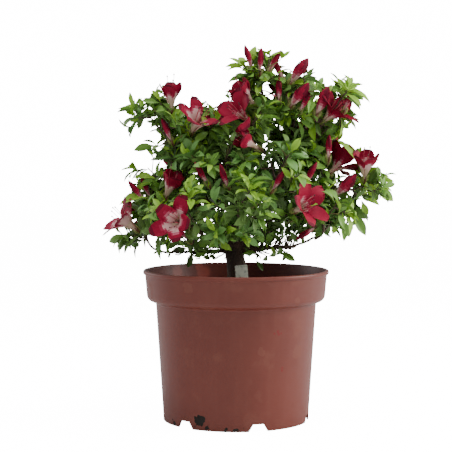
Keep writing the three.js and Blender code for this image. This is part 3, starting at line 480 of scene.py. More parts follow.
# Room that leaves and flowers at the crown's edge keep to its outline. A flower that doesn't show
# from the front keeps it at two places: how far up it, and how wide
EDGE_ROOM = 10
BACK_ROOM = [(14, 14), (28, 31)]

# Tints by how far out a spray is, as a share of the crown's reach
CROWN_REACH = 160
YOUNG_SHARE = 0.3
BLUE_SHEEN_SHARE = 0.36
MID_SHARES = (0.55, 0.4)

# Flowers. A petal has the height of its end and how far out that is, the throat's radius and how
# high it opens, half a lobe's width, its ruffle, and how far along it stays pale
BLOOM = {
    "length": 32, "rim": 31, "throat": 7, "lift": 29, "lobe": 10, "ruffle": 1.5,
    "pale": (0.6, 0.84),
}
RED_BLOOM = {**BLOOM, "pale": (0.42, 0.6)}
HALF_OPEN = {
    "length": 34, "rim": 12.5, "throat": 7, "lift": 24, "lobe": 8.4, "ruffle": 1,
    "pale": (0.5, 0.72),
}
PETALS = 5
PETAL_COLUMNS = 11
PETAL_ROWS = 14
PETAL_THICKNESS = 0.25
# Where along a petal the tube parts into lobes, where a lobe is widest and how round its end is
LOBES_PART = (0.34, 0.58)
LOBE_WIDEST = 0.72
LOBE_END = 0.29
# Open flowers: their petals' shape, how far the petals stray, and their stamens
OPEN_FLOWERS = {
    "bloom": (BLOOM, 0.22, 7),
    "red": (RED_BLOOM, 0.22, 7),
    "half": (HALF_OPEN, 0.14, 3),
}
STAMEN_LENGTH = (30, 44)
FILAMENT_RADIUS = 0.38
FILAMENT_SIDES = 4
ANTHER_STEPS = (0, 0.5, 1.4, 2.1)
ANTHER_RADII = (0.4, 0.85, 0.85, 0.4)
ANTHER_SIDES = 5
# Closed flowers: their length and radius
CLOSED_FLOWERS = {"plump": (41, 7.8), "bud": (35, 4.2)}
BUD_ROWS = 12
BUD_COLUMNS = 15
BUD_SPREAD = 0.42
# The length and radius of the scales that hold each kind of flower, and how many they are
CALYX = {
    "bloom": (12, 3), "red": (12, 3), "half": (12, 3), "plump": (13, 3.6), "bud": (12, 2.8),
    "buds": (11, 2.6),
}
CALYX_SCALES = 8
CALYX_RADII = (0.9, 1.5, 1.15, 0.3)
CALYX_SIDES = 5

# Round places about each kind of flower that leaves keep out of: how far up it, and the radius
IN_VIEW = {
    "bloom": [(10, 8), (28, 19)],
    "red": [(10, 8), (28, 19)],
    "half": [(12, 8), (26, 13)],
    "plump": [(12, 8), (26, 10)],
    "bud": [(12, 5), (22, 6)],
}
PETAL_BANDS = {
    "throat": (0.5, 0.35, 0.26),
    "blush": (0.58, 0.35, 0.33),
    "pink": (0.42, 0.11, 0.15),
    "rose": (0.31, 0.016, 0.05),
    "crimson": (0.23, 0.003, 0.024),
    "deep": (0.11, 0.002, 0.015),
}
TWIG_COLOURS = {"old": (0.075, 0.046, 0.028), "young": (0.16, 0.14, 0.045)}
SMALL_COLOURS = {
    "sepals": (0.19, 0.22, 0.05),
    "scales": (0.14, 0.06, 0.025),
    "anthers": (0.08, 0.01, 0.015),
    "stamens": (0.4, 0.07, 0.09),
}

# Shoots low in the crown: the bough each grows from and how far along it, where it ends, the way
# it points and how many leaves it has. Then single leaves there, from root to tip
LOW_SHOOTS = [
    ("low_left", 0.34, (-33, -26, 199.5), (0, -0.5, -0.85), 7),
    ("low_right", 0.22, (37, -12, 194), (0.7, -0.2, -0.5), 2),
    ("low_right", 0.3, (55, -14, 203), (0.9, -0.25, -0.1), 5),
    ("low_right", 0.2, (34, -20, 222), (0.1, -0.5, 0.85), 6),
    ("low_right", 0.4, (58, -20, 226), (0.3, -0.4, 0.8), 6),
    ("low_right", 0.25, (32, -16, 230), (-0.2, -0.4, 0.9), 5),
    ("low_right", 0.34, (45, -18, 216), (0.2, -0.6, 0.7), 5),
    ("low_right", 0.36, (47, -14, 236), (0.2, -0.5, 0.85), 5),
    ("low_right", 0.48, (62, -14, 238), (0.4, -0.4, 0.8), 6),
    ("low_right", 0.5, (70, -20, 224), (0.6, -0.5, 0.6), 5),
    ("low_right", 0.62, (80, -20, 234), (0.5, -0.5, 0.7), 5),
    ("low_right", 0.12, (20, -22, 216), (0.2, -0.7, 0.6), 4),
    ("low_right", 0.3, (42, 6, 222), (0.3, -0.6, 0.6), 7),
    ("low_right", 0.5, (66, 4, 230), (0.3, -0.6, 0.6), 7),
    ("low_right", 0.4, (54, 8, 240), (-0.2, -0.6, 0.7), 7),
    ("low_right", 0.2, (28, 8, 214), (0.2, -0.7, 0.5), 6),
    ("low_right", 0.6, (82, -4, 240), (0.4, -0.5, 0.7), 6),
    ("back_right", 0.6, (44, 26, 232), (0.2, -0.5, 0.8), 7),
    ("back_right", 0.45, (30, 22, 216), (0.3, -0.6, 0.5), 6),
    ("front_left", 0.45, (-26, -30, 224), (-0.1, -0.6, 0.8), 7),
    ("back_left", 0.5, (-34, 22, 226), (-0.2, -0.5, 0.8), 7),
    ("leader", 0.2, (-18, -12, 238), (-0.5, -0.5, 0.7), 7),
    ("leader", 0.3, (22, -14, 244), (0.5, -0.5, 0.7), 7),
    ("low_right", 0.12, (24, -14, 199), (0.3, -0.3, -0.85), 3),
]
# Most of these take the deep green, which is painted shade low in the crown
LOW_LEAVES = [
    ("deep", (-52, -14, 201.5), (-57, -17, 181)),
    ("deep", (-56, -12, 204), (-76, -15, 200.5)),
    ("deep", (-77, -12, 201), (-80, -14, 192)),
    ("deep", (-90, -12, 201), (-97.5, -14, 197.5)),
    ("mid", (-74, -48, 219), (-89, -50, 210)),
    ("deep", (-57, -46, 214), (-73, -48, 214)),
    ("young", (-24, -48, 218), (-5.6, -54, 205)),
    ("mid", (-25, -48, 214), (-48, -52, 212)),
    ("deep", (-30, -16, 210), (-50, -18, 206)),
    ("mid", (-40, -30, 214), (-61, -32, 207)),
    ("deep", (-12, -20, 212), (-31, -22, 206)),
    ("deep", (-64, -20, 211), (-84, -24, 205)),
    ("mid", (22, -50, 228), (31, -56, 214)),
    ("deep", (16, -30, 243), (28, -36, 226)),
    ("deep", (40, -24, 236), (58, -28, 226)),
    ("deep", (62, -30, 226), (72, -34, 212)),
    ("mid", (46, -28, 226), (36, -34, 212)),
    ("deep", (84, -24, 232), (70, -30, 222)),
    ("deep", (40, -16, 222), (53, -20, 213)),
    ("deep", (56, -16, 222), (67, -18, 211)),
    ("deep", (30, -18, 217), (43, -20, 208)),
    ("deep", (66, -18, 234), (56, -22, 221)),
    ("deep", (74, -20, 221), (88, -22, 228)),
    ("deep", (50, -20, 240), (44, -24, 226)),
    ("young", (-22, -48, 222), (-35, -52, 227.5)),
    ("mid", (-23, -48, 222), (-11, -54, 238)),
    ("mid", (-26, -48, 223), (-38, -54, 237.5)),
    ("mid", (20, -40, 227.5), (30, -46, 214.5)),
    ("blue_sheen", (21.5, -30, 223), (23, -32, 211)),
    ("deep", (9, -17, 207), (16.5, -20, 194)),
    ("young", (34, -14, 211), (37, -16, 204)),
    ("young", (40, -14, 208), (45, -18, 198)),
    ("mid", (50, -16, 200), (69, -22, 190)),
    ("deep", (22, -14, 191), (32, -18, 178)),
]

# Spurs on a bough: how many, where along it, and each one's radius and kink. A bough whose tip is
# below LOW_BOUGH has more and stouter ones
SPURS = (9, (0.12, 0.95), 0.62, 0.4)
LOW_SPURS = (34, (0.05, 0.75), 1.15, 1.5)
LOW_BOUGH = 245
SPUR_REACH = (5, 12)
SPUR_FORK = (0.4, 0.7)
FORK_REACH = (4, 9)
FORK_RADIUS = 0.5

# Camera
FOCAL_PIXELS = 1395
IMAGE_PIXELS = 452
SENSOR = 36
CAMERA_PITCH = 3

# Strength of the surround, and of the white that the camera sees behind and under the plant
SURROUND = 0.8
WHITE = 16
FLOOR_WHITE = 14.88
FLOOR_SIZE = 12

# Lamps: the place and target of each in metres, its size, power and colour
LAMPS = {
    "key": ((1.5, 0, 0.8), (0, 0, 0.2), 0.7, 34, (1, 0.98, 0.94)),
    "top": ((0.1, -0.3, 1.6), (0, 0, 0.3), 0.7, 16, (1, 1, 1)),
    "rim": ((-1.2, 0.7, 0.5), (0, 0, 0.15), 0.6, 4, (0.95, 0.98, 1)),
}


class Value:
    """One output of a shader node. Sums, products and comparisons of values add Math nodes."""

    def __init__(self, finish, socket):
        self.finish = finish
        self.socket = socket

    def _maths(self, operation, first, second):
        return self.finish.node("ShaderNodeMath", {"operation": operation}, {0: first, 1: second})

    def __add__(self, other):
        return self._maths("ADD", self, other)

    def __radd__(self, other):
        return self._maths("ADD", other, self)

    def __sub__(self, other):
        return self._maths("SUBTRACT", self, other)

    def __rsub__(self, other):
        return self._maths("SUBTRACT", other, self)

    def __mul__(self, other):
        return self._maths("MULTIPLY", self, other)

    def __rmul__(self, other):
        return self._maths("MULTIPLY", other, self)

    def __lt__(self, other):
        return self._maths("LESS_THAN", self, other)


class Finish:
    """A material and the nodes that make its pattern."""

    def __init__(self, name, colour, roughness, constants=None):
        self.material = bpy.data.materials.new(name)
        self.material.use_nodes = True
        self.tree = self.material.node_tree
        self.shader = self.tree.nodes["Principled BSDF"]
        self.shader.inputs["Base Color"].default_value = (*colour, 1)
        self.shader.inputs["Roughness"].default_value = roughness
        for socket, value in (constants or {}).items():
            self.shader.inputs[socket].default_value = value

    def node(self, kind, settings=None, values=None, output=0):
        """A node of a kind, with its settings, and the values or links of its inputs."""
        node = self.tree.nodes.new(kind)
        for name, setting in (settings or {}).items():
            if name == "stops":
                self._set_stops(node.color_ramp, setting)
            else:
                setattr(node, name, setting)
        for name, value in (values or {}).items():
            if isinstance(value, Value):
                self.tree.links.new(value.socket, node.inputs[name])
            else:
                node.inputs[name].default_value = value
        return Value(self, node.outputs[output])

    def _set_stops(self, ramp, stops):
        for _ in stops[2:]:
            ramp.elements.new(0.5)
        for element, (place, colour) in zip(ramp.elements, stops):
            element.position = place
            element.color = (*colour, 1)

    def places(self):
        return self.node("ShaderNodeTexCoord", output="Object")

    def noise(self, scale, detail=3, stretch=(1, 1, 1)):
        """Noise from 0 to 1 with so many patches to a metre, stretched along the axes."""
        mapping = self.node("ShaderNodeMapping", {}, {"Vector": self.places(), "Scale": stretch})
        return self.node(
            "ShaderNodeTexNoise", {}, {"Vector": mapping, "Scale": scale, "Detail": detail})

    def marks(self, spots, ragged):
        """A mask of round marks on the pot's front, whose edges wander by so many metres."""
        wander = (self.noise(EDGE_PATCHES, 3) - 0.5) * ragged
        mask = 0
        for spot, radius in spots:
            mask = mask + (self.away_from(spot, -1) + wander < radius * MARK_SPREAD * MM)
        return mask

    def glow(self, spots):
        """A mask of soft round patches of painted light on the pot's back wall."""
        mask = 0
        for spot, radius in spots:
            mask = mask + 1 - self.between(
                self.away_from(spot, 1), radius * PAINTED_LIGHT_CORE * MM, radius * MM)
        return mask

    def inside_band(self):
        """A mask of what lies within the middle of the wall of the band, which widens upwards."""
        flat = self.node("ShaderNodeMapping", {}, {
            "Vector": self.places(), "Location": -POT_AXIS, "Scale": (1, 1, 0)})
        radius = self.node("ShaderNodeVectorMath", {"operation": "LENGTH"}, {0: flat}, "Value")
        height = self.node("ShaderNodeSeparateXYZ", {}, {0: self.places()}, "Z")
        taper = (BAND_TOP_RADIUS - BAND_FOOT_RADIUS) / (POT_HEIGHT - LIP_HEIGHT - BAND_FOOT)
        wall = BAND_FOOT_RADIUS - WALL / 2 - BAND_FOOT * taper
        return radius - height * taper < wall * MM

    def away_from(self, spot, side):
        """How far a point is from a spot, given across and up, on the pot's front or back wall."""
        x, z = spot
        rise = z / SHOULDER_FOOT
        out = FOOT_RADIUS + (BODY_TOP_RADIUS - FOOT_RADIUS) * rise if rise < 1 else BAND_FOOT_RADIUS
        place = Vector((x, side * math.sqrt(out ** 2 - x ** 2), z)) * MM + POT_AXIS
        return self.node("ShaderNodeVectorMath", {"operation": "DISTANCE"}, {
            0: self.places(), 1: place}, output="Value")

    def between(self, value, low, high):
        """A mask that is 0 up to low and 1 from high, with a soft step between."""
        return self.node("ShaderNodeMapRange", {"interpolation_type": "SMOOTHSTEP"}, {
            "Value": value, "From Min": low, "From Max": high})

    def mix(self, mask, first, second):
        """The first colour where the mask is 0 and the second where it is 1."""
        colours = [c if isinstance(c, Value) else (*c, 1) for c in (first, second)]
        return self.node("ShaderNodeMix", {"data_type": "RGBA"}, {
            0: mask, 6: colours[0], 7: colours[1]}, output=2)

    def apply(self, socket, value):
        self.tree.links.new(value.socket, self.shader.inputs[socket])

    def bump(self, height, distance, strength=1.0):
        self.apply("Normal", self.node("ShaderNodeBump", {}, {
            "Height": height, "Distance": distance, "Strength": strength}))


def seeded(seed):
    """Repeatable random numbers, drawn as in the solids."""
    state = seed

    def draw(low=0.0, high=1.0):
        nonlocal state
        state = state * DRAW_FACTOR % DRAW_LIMIT
        return low + (high - low) * state / DRAW_LIMIT

    draw()
    draw()
    return draw


def edit(mode="VERT"):
    """Enters edit mode, to work on vertices, edges or faces."""
    bpy.context.tool_settings.mesh_select_mode = [mode == kind for kind in ("VERT", "EDGE", "FACE")]
    bpy.ops.object.mode_set(mode="EDIT")
    bpy.ops.mesh.select_mode(type=mode)


def leave_edit():
    bpy.ops.object.mode_set(mode="OBJECT")


def choose(piece, mode, test):
    """Enters edit mode with only the parts selected whose vertices all pass a test."""
    edit(mode)
    bpy.ops.mesh.select_all(action="DESELECT")
    leave_edit()
    places = [corner.co / MM for corner in piece.data.vertices]
    if mode == "VERT":
        for corner, place in zip(piece.data.vertices, places):
            corner.select = test([place])
    else:
        for part in piece.data.edges if mode == "EDGE" else piece.data.polygons:
            part.select = test([places[i] for i in part.vertices])
    edit(mode)


def only(*pieces):
    """Selects these objects alone, with the first one active."""
    bpy.ops.object.select_all(action="DESELECT")
    for piece in pieces:
        piece.select_set(True)
    bpy.context.view_layer.objects.active = pieces[0]


def apply_modifiers(piece):
    only(piece)
    for modifier in list(piece.modifiers):
        bpy.ops.object.modifier_apply(modifier=modifier.name)


def named(name):
    piece = bpy.context.active_object
    piece.name = name
    piece.data.name = name
    return piece


def stand_on_axis(piece):
    """Moves a piece that was modelled round the world's axis to the pot's axis."""
    only(piece)
    piece.location += POT_AXIS
    bpy.ops.object.transform_apply(location=True, rotation=True, scale=True)


def smooth(piece, degrees):
    only(piece)
    bpy.ops.object.shade_smooth_by_angle(angle=math.radians(degrees))


def settle(piece, finishes, nodes):
    """Gives a piece its materials and its body, and hides the CAD nodes that it stands for."""
    for finish in finishes:
        piece.data.materials.append(finish.material)
    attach(piece, "root")
    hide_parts(*nodes)


def draw_rings(profile):
    """Draws the selected ring through the profile's radii and heights, the first being its own."""
    for (radius, height), (next_radius, next_height) in zip(profile, profile[1:]):
        bpy.ops.mesh.extrude_region_move(
            TRANSFORM_OT_translate={"value": (0, 0, (next_height - height) * MM)})
        share = next_radius / radius
        bpy.ops.transform.resize(value=(share, share, 1), center_override=(0, 0, 0))


def rounded(corners):
    """The profile through corners of radius, height and fillet, with an arc at each fillet."""
    profile = []
    for i, (radius, height, fillet) in enumerate(corners):
        here = Vector((radius, height))
        if fillet == 0 or i in (0, len(corners) - 1):
            profile.append((radius, height))
            continue
        before = Vector(corners[i - 1][:2]) - here
        after = Vector(corners[i + 1][:2]) - here
        reach = min(fillet, before.length * LONGEST_FILLET, after.length * LONGEST_FILLET)
        start = here + before.normalized() * reach
        end = here + after.normalized() * reach
        for k in range(FILLET_STEPS + 1):
            t = k / FILLET_STEPS
            point = start * (1 - t) ** 2 + here * 2 * t * (1 - t) + end * t ** 2
            profile.append((point.x, point.y))
    return profile


def turned(name, corners, sides):
    """A closed form of revolution, drawn ring by ring from its first corner to its last."""
    profile = rounded(corners)
    radius, height = profile[0]
    bpy.ops.mesh.primitive_circle_add(
        vertices=sides, radius=radius * MM, location=(0, 0, 0), fill_type="NOTHING")
    piece = named(name)
    edit()
    bpy.ops.mesh.select_all(action="SELECT")
    bpy.ops.transform.translate(value=(0, 0, height * MM))
    draw_rings(profile)
    bpy.ops.mesh.merge(type="CENTER")
    bpy.ops.mesh.select_all(action="DESELECT")
    bpy.ops.mesh.select_non_manifold()
    bpy.ops.mesh.merge(type="CENTER")
    bpy.ops.mesh.select_all(action="SELECT")
    bpy.ops.mesh.normals_make_consistent(inside=False)
    leave_edit()
    return piece


def notch_cutter():
    """A wedge for each notch in the foot, with a rod for the drain hole behind it."""
    narrow = NOTCH_WIDTH - 2 * NOTCH_SLANT
    bpy.ops.mesh.primitive_cube_add(
        size=1, location=(0, -FOOT_RADIUS * MM, 0),
        scale=(narrow * MM, CUT_DEPTH * MM, 2 * NOTCH_HEIGHT * MM))
    wedge = named("notch_wedge")
    bpy.ops.object.transform_apply(location=True, rotation=True, scale=True)
    choose(wedge, "FACE", lambda corners: all(corner.z < 0 for corner in corners))
    bpy.ops.transform.resize(
        value=((NOTCH_WIDTH + 2 * NOTCH_SLANT) / narrow, 1, 1), center_override=(0, 0, 0))
    leave_edit()
    bpy.ops.mesh.primitive_cylinder_add(
        vertices=DRAIN_SIDES, radius=DRAIN_RADIUS * MM, depth=CUT_DEPTH * MM,
        location=(0, -DRAIN_PLACE * MM, FLOOR_TOP * MM))
    bpy.ops.object.transform_apply(location=True, rotation=True, scale=True)
    only(wedge, bpy.context.active_object)
    bpy.ops.object.join()
    tools = [wedge]
    for i in range(NOTCHES):
        if i > 0:
            tools.append(wedge.copy())
            tools[i].data = wedge.data.copy()
            bpy.context.scene.collection.objects.link(tools[i])
        tools[i].rotation_euler.z = math.radians(FIRST_NOTCH + 360 / NOTCHES * i)
    only(*tools)
    bpy.ops.object.join()
    bpy.ops.object.transform_apply(location=True, rotation=True, scale=True)
    return wedge


def make_pot():
    """The pot's wall, band, rolled lip, floor, notched foot and drain holes."""
    band = POT_HEIGHT - LIP_HEIGHT
    pot = turned("pot_shell", [
        (AXIS_GAP, FLOOR_UNDERSIDE, 0),
        (FOOT_RADIUS - FOOT_WALL - 2, FLOOR_UNDERSIDE, 0),
        (FOOT_RADIUS - FOOT_WALL, FLOOR_UNDERSIDE, 1),
        (FOOT_RADIUS - FOOT_WALL, 0, 0.3),
        (FOOT_RADIUS, 0, 0.7),
        (FOOT_RADIUS + 0.6, FLOOR_TOP + 2, 2),
        (BODY_TOP_RADIUS, SHOULDER_FOOT - 1.4, 1.1),
        (BODY_TOP_RADIUS + 1.6, SHOULDER_FOOT + 0.2, 0.9),
        (BAND_FOOT_RADIUS - 2.4, BAND_FOOT - 3.9, 2.2),
        (BAND_FOOT_RADIUS, BAND_FOOT, 2),
        (BAND_TOP_RADIUS, band - 0.6, 1.2),
        (LIP_RADIUS - 0.4, band, 0.8),
        (LIP_RADIUS, band + 1, 0.6),
        (LIP_RADIUS, POT_HEIGHT - 1.3, 0.9),
        (LIP_RADIUS - 1, POT_HEIGHT, 0.9),
        (BAND_TOP_RADIUS - WALL, POT_HEIGHT, 1),
        (BAND_FOOT_RADIUS - WALL, BAND_FOOT, 2),
        (BODY_TOP_RADIUS + 5.5 - WALL, SHOULDER_FOOT + 3, 2),
        (BODY_TOP_RADIUS - WALL, SHOULDER_FOOT + 0.4, 2),
        (FOOT_RADIUS - WALL, FLOOR_TOP, 2),
        (FOOT_RADIUS - WALL - 4, FLOOR_TOP, 0),
        (AXIS_GAP, FLOOR_TOP, 0),
    ], POT_SIDES)
    cutter = notch_cutter()
    cut = pot.modifiers.new("notches", "BOOLEAN")
    cut.object = cutter
    cut.solver = "EXACT"
    cut.use_self = True
    apply_modifiers(pot)
    bpy.data.objects.remove(cutter)
    smooth(pot, 32)
    stand_on_axis(pot)
    settle(pot, [pot_finish()], ["pot"])


def pot_finish():
    """Brown-red moulded plastic with dust, scratches, dirt left on its foot, and painted light
    inside its back wall.
    """
    finish = Finish("terracotta_plastic", (0.12, 0.022, 0.013), 0.45, {"Specular IOR Level": 0.35})
    cloud = finish.noise(9, 4)
    streaks = finish.noise(60, 2, (1, 1, 0.06))
    base = finish.mix(
        finish.between(cloud, 0.3, 0.7), (0.113, 0.02, 0.0115), (0.136, 0.027, 0.0165))
    base = finish.mix(finish.between(streaks, 0.45, 0.8) * 0.2, base, (0.17, 0.05, 0.034))
    dust = finish.between(finish.noise(38, 6), 0.56, 0.74) * 0.22 + finish.marks(DUST, 0.01) * 0.2
    base = finish.mix(dust, base, (0.2, 0.08, 0.055))
    base = finish.mix(finish.marks(SCRATCHES, 0.002) * 0.7, base, (0.16, 0.008, 0.006))
    # Painted light: paler patches on the inside of the band's back wall
    glow = finish.between(finish.glow(PAINTED_LIGHT_INSIDE), 0, 1) * finish.inside_band()
    base = finish.mix(glow * 0.7, base, (0.3, 0.055, 0.035))
    height = finish.node("ShaderNodeSeparateXYZ", {}, {0: finish.places()}, output="Z")
    low = 1 - finish.between(height, 0.001, 0.008)
    dirt = finish.between(finish.noise(110, 3), 0.6, 0.65) * low + finish.marks(DIRT, 0.011)
    base = finish.mix(finish.between(dirt, 0, 1), base, (0.012, 0.009, 0.007))
    finish.apply("Base Color", base)
    finish.apply("Roughness", 0.42 + dust * 0.6 + 0.08 * cloud + dirt * 0.4)
    finish.bump(finish.noise(900, 2) * 0.4 + finish.noise(45, 3, (1, 1, 0.2)), 0.00025, 0.5)
    return finish


def make_soil():
    """The soil's lumpy top, with a body below it that fills the pot."""
    room = WALL + SOIL_ROOM
    edge = BAND_FOOT_RADIUS - room
    top = [(edge, SOIL_EDGE, 0)]
    for i in range(1, SOIL_RINGS):
        radius = edge * (1 - i / SOIL_RINGS)
        rise = min(1, (edge - radius) / (edge - SOIL_MOUND))
        top.append((radius, SOIL_EDGE + (SOIL_TOP - SOIL_EDGE) * rise, 0))
    soil = turned("soil_bed", [
        (AXIS_GAP, FLOOR_TOP + 0.3, 0),
        (FOOT_RADIUS - room, FLOOR_TOP + 0.3, 0),
        (BODY_TOP_RADIUS - room, SHOULDER_FOOT + 1.2, 0),
        (edge, BAND_FOOT + 0.8, 0),
        *top,
    ], SOIL_SIDES)
    only(soil)
    group = soil.vertex_groups.new(name="top")
    inside = (edge - 1) * MM
    chosen = [v.index for v in soil.data.vertices
              if v.co.z > (SOIL_EDGE - 0.1) * MM and v.co.xy.length < inside]
    group.add(chosen, 1, "REPLACE")
    for name, (size, strength) in SOIL_RELIEF.items():
        texture = bpy.data.textures.new(name, "CLOUDS")
        texture.noise_scale = size * MM
        texture.noise_depth = 2
        lumps = soil.modifiers.new(name, "DISPLACE")
        lumps.texture = texture
        lumps.texture_coords = "LOCAL"
        lumps.direction = "Z"
        lumps.vertex_group = "top"
        lumps.mid_level = SOIL_LEVEL
        lumps.strength = strength * MM
    apply_modifiers(soil)
    smooth(soil, 60)
    stand_on_axis(soil)
    settle(soil, [soil_finish()], ["soil"])


def soil_finish():
    finish = Finish("potting_soil", (0.03, 0.018, 0.011), 0.95)
    patches = finish.noise(160, 5)
    finish.apply("Base Color", finish.node("ShaderNodeValToRGB", {"stops": [
        (0.3, (0.012, 0.007, 0.005)), (0.55, (0.032, 0.018, 0.011)), (0.75, (0.075, 0.042, 0.024)),
    ]}, {0: patches}))
    finish.bump(finish.noise(700, 4), 0.0012, 0.9)
    return finish


def make_tag():
    """The blank name tag, a thin strip with a pointed foot that leans in the soil."""
    foot = TAG_TOP - TAG_LENGTH
    bpy.ops.mesh.primitive_cube_add(
        size=1, location=(0, 0, (TAG_TOP + foot) / 2 * MM),
        scale=(TAG_WIDTH * MM, TAG_THICKNESS * MM, TAG_LENGTH * MM))
    tag = named("name_tag")
    bpy.ops.object.transform_apply(location=True, rotation=True, scale=True)
    edit()
    bpy.ops.mesh.select_all(action="SELECT")
    bpy.ops.mesh.bisect(plane_co=(0, 0, (foot + TAG_POINT) * MM), plane_no=(0, 0, 1))
    leave_edit()
    choose(tag, "VERT", lambda corners: corners[0].z < foot + 1)
    bpy.ops.transform.resize(value=(TAG_FOOT / TAG_WIDTH, 1, 1), center_override=(0, 0, 0))
    leave_edit()
    choose(tag, "EDGE", lambda ends: (
        all(end.z > TAG_TOP - 1 for end in ends) and ends[0].x * ends[1].x > 0))
    bpy.ops.mesh.bevel(offset=TAG_CORNER * MM, segments=4)
    leave_edit()
    edges = tag.modifiers.new("edges", "BEVEL")
    edges.width = TAG_EDGE * MM
    edges.segments = 2
    apply_modifiers(tag)
    smooth(tag, 40)
    tag.rotation_euler = (0, math.radians(TAG_LEAN), 0)
    stand = Vector((*TAG_PLACE, SOIL_TOP))
    tag.location = (stand - tag.rotation_euler.to_matrix() @ (UP * SOIL_TOP)) * MM
    stand_on_axis(tag)
    finish = Finish("faded_tag", (0.5, 0.5, 0.43), 0.6)
    faded = finish.between(finish.noise(260, 4), 0.42, 0.7)
    finish.apply("Base Color", finish.mix(faded * 0.7, (0.68, 0.7, 0.58), (0.27, 0.29, 0.23)))
    settle(tag, [finish], ["tag"])


def on_curve(points, t):
    """A point on the cubic curve of four control points."""
    a, b, c, d = points
    s = 1 - t
    return a * (s * s * s) + b * (3 * s * s * t) + c * (3 * s * t * t) + d * (t * t * t)


def grow_limbs():
    """The trunk and boughs as cubic curves with a radius at each end."""
    foot, top = Vector(TRUNK_FOOT), Vector(TRUNK_TOP)
    middle = (foot + top) / 2 + Vector((TRUNK_BOW, 0, 0))
    limbs = {"trunk": ((foot, middle, middle, top), TRUNK_RADII)}
    for name, (origin, share, tip, lift, radii) in BOUGHS.items():
        start = on_curve(limbs[origin][0], share)
        end = Vector(tip)
        first = start.lerp(end, 0.33) + UP * lift
        second = start.lerp(end, 0.67) + UP * lift
        limbs[name] = ((start, first, second, end), radii)
    return limbs


LIMBS = grow_limbs()


def limb_beads():
    """Points along all limbs, in a tree for quick search, with their radii."""
    beads = []
    for points, radii in LIMBS.values():
        count = max(2, math.ceil((points[0] - points[3]).length * LIMB_BOW / BEAD_STEP))
        for i in range(count + 1):
            t = i / count
            beads.append((on_curve(points, t), radii[0] + (radii[1] - radii[0]) * t))
    tree = KDTree(len(beads))
    for i, (place, _) in enumerate(beads):
        tree.insert(place, i)
    tree.balance()
    return beads, tree


BEADS, BEAD_TREE = limb_beads()


def clear_of_limbs(point, room):
    near = BEAD_TREE.find_range(point, TRUNK_RADII[0] + room)
    return all(distance >= BEADS[i][1] + room for _, i, distance in near)


def bezier(name, points, radii):
    """One limb as a curve with a round section."""
    bpy.ops.curve.primitive_bezier_curve_add(location=(0, 0, 0))
    limb = named(name)
    limb.data.dimensions = "3D"
    limb.data.bevel_depth = MM
    limb.data.bevel_resolution = LIMB_SIDES
    limb.data.resolution_u = LIMB_STEPS
    limb.data.use_fill_caps = True
    start, end = limb.data.splines[0].bezier_points
    for handle in (start, end):
        handle.handle_left_type = handle.handle_right_type = "FREE"
    a, b, c, d = (point * MM for point in points)
    start.co, start.handle_left, start.handle_right, start.radius = a, a * 2 - b, b, radii[0]
    end.co, end.handle_left, end.handle_right, end.radius = d, c, d * 2 - c, radii[1]
    return limb


def make_wood():
    """Trunk and boughs grown into one skin of bark, over their curves."""
    rods = []
    for name, (points, radii) in LIMBS.items():
        rods.append(bezier(f"limb_{name}", points, radii))
    foot, heart = Vector(TRUNK_FOOT), on_curve(LIMBS["trunk"][0], FLARE_START)
    for i in range(ROOT_FLARES):
        turn = 2 * math.pi * i / ROOT_FLARES + FLARE_TURN
        out = Vector((math.cos(turn), math.sin(turn), 0))
        toe = foot + out * FLARE_REACH - UP * FLARE_SINK
        knee = foot + (out + UP) * FLARE_KNEE
        points = (heart, heart + out * FLARE_LEAVE, knee, toe)
        rods.append(bezier(f"flare_{i}", points, FLARE_RADII))
    only(*rods)
    bpy.ops.object.convert(target="MESH")
    bpy.ops.object.join()
    wood = named("bark")
    skin = wood.modifiers.new("skin", "REMESH")
    skin.mode = "VOXEL"
    skin.voxel_size = VOXEL * MM * 1
    even = wood.modifiers.new("even", "SMOOTH")
    even.iterations = 3
    guides = []
    for name, (size, strength, stretch, way) in BARK_RELIEF.items():
        texture = bpy.data.textures.new(name, "CLOUDS")
        texture.noise_scale = size * MM
        texture.noise_depth = 2
        bpy.ops.object.empty_add(location=(0, 0, 0))
        guides.append(bpy.context.active_object)
        guides[-1].scale = (1, 1, 1 / stretch)
        relief = wood.modifiers.new(name, "DISPLACE")
        relief.direction = way
        relief.texture = texture
        relief.texture_coords = "OBJECT"
        relief.texture_coords_object = guides[-1]
        relief.strength = strength * MM
        relief.mid_level = 0.5
    apply_modifiers(wood)
    for guide in guides:
        bpy.data.objects.remove(guide)
    smooth(wood, 180)
    stand_on_axis(wood)
    nodes = ["trunk"] + [f"bough_{name}" for name in BOUGHS]
    settle(wood, [bark_finish()], nodes)


def bark_finish():
    finish = Finish("azalea_bark", (0.05, 0.032, 0.022), 0.85)
    patches = finish.noise(70, 5, (1, 1, 0.35))
    colour = finish.node("ShaderNodeValToRGB", {"stops": [
        (0.3, (0.018, 0.012, 0.009)), (0.5, (0.055, 0.032, 0.02)), (0.68, (0.1, 0.056, 0.033)),
    ]}, {0: patches})
    height = finish.node("ShaderNodeSeparateXYZ", {}, {0: finish.places()}, output="Z")
    ruddy = finish.between(height, 0.2, 0.235) * finish.between(finish.noise(40, 2), 0.35, 0.6)
    colour = finish.mix(ruddy * 0.6, colour, (0.15, 0.055, 0.032))
    finish.apply("Base Color", colour)
    finish.bump(finish.noise(420, 5, (1, 1, 0.3)), 0.0009, 0.9)
    return finish


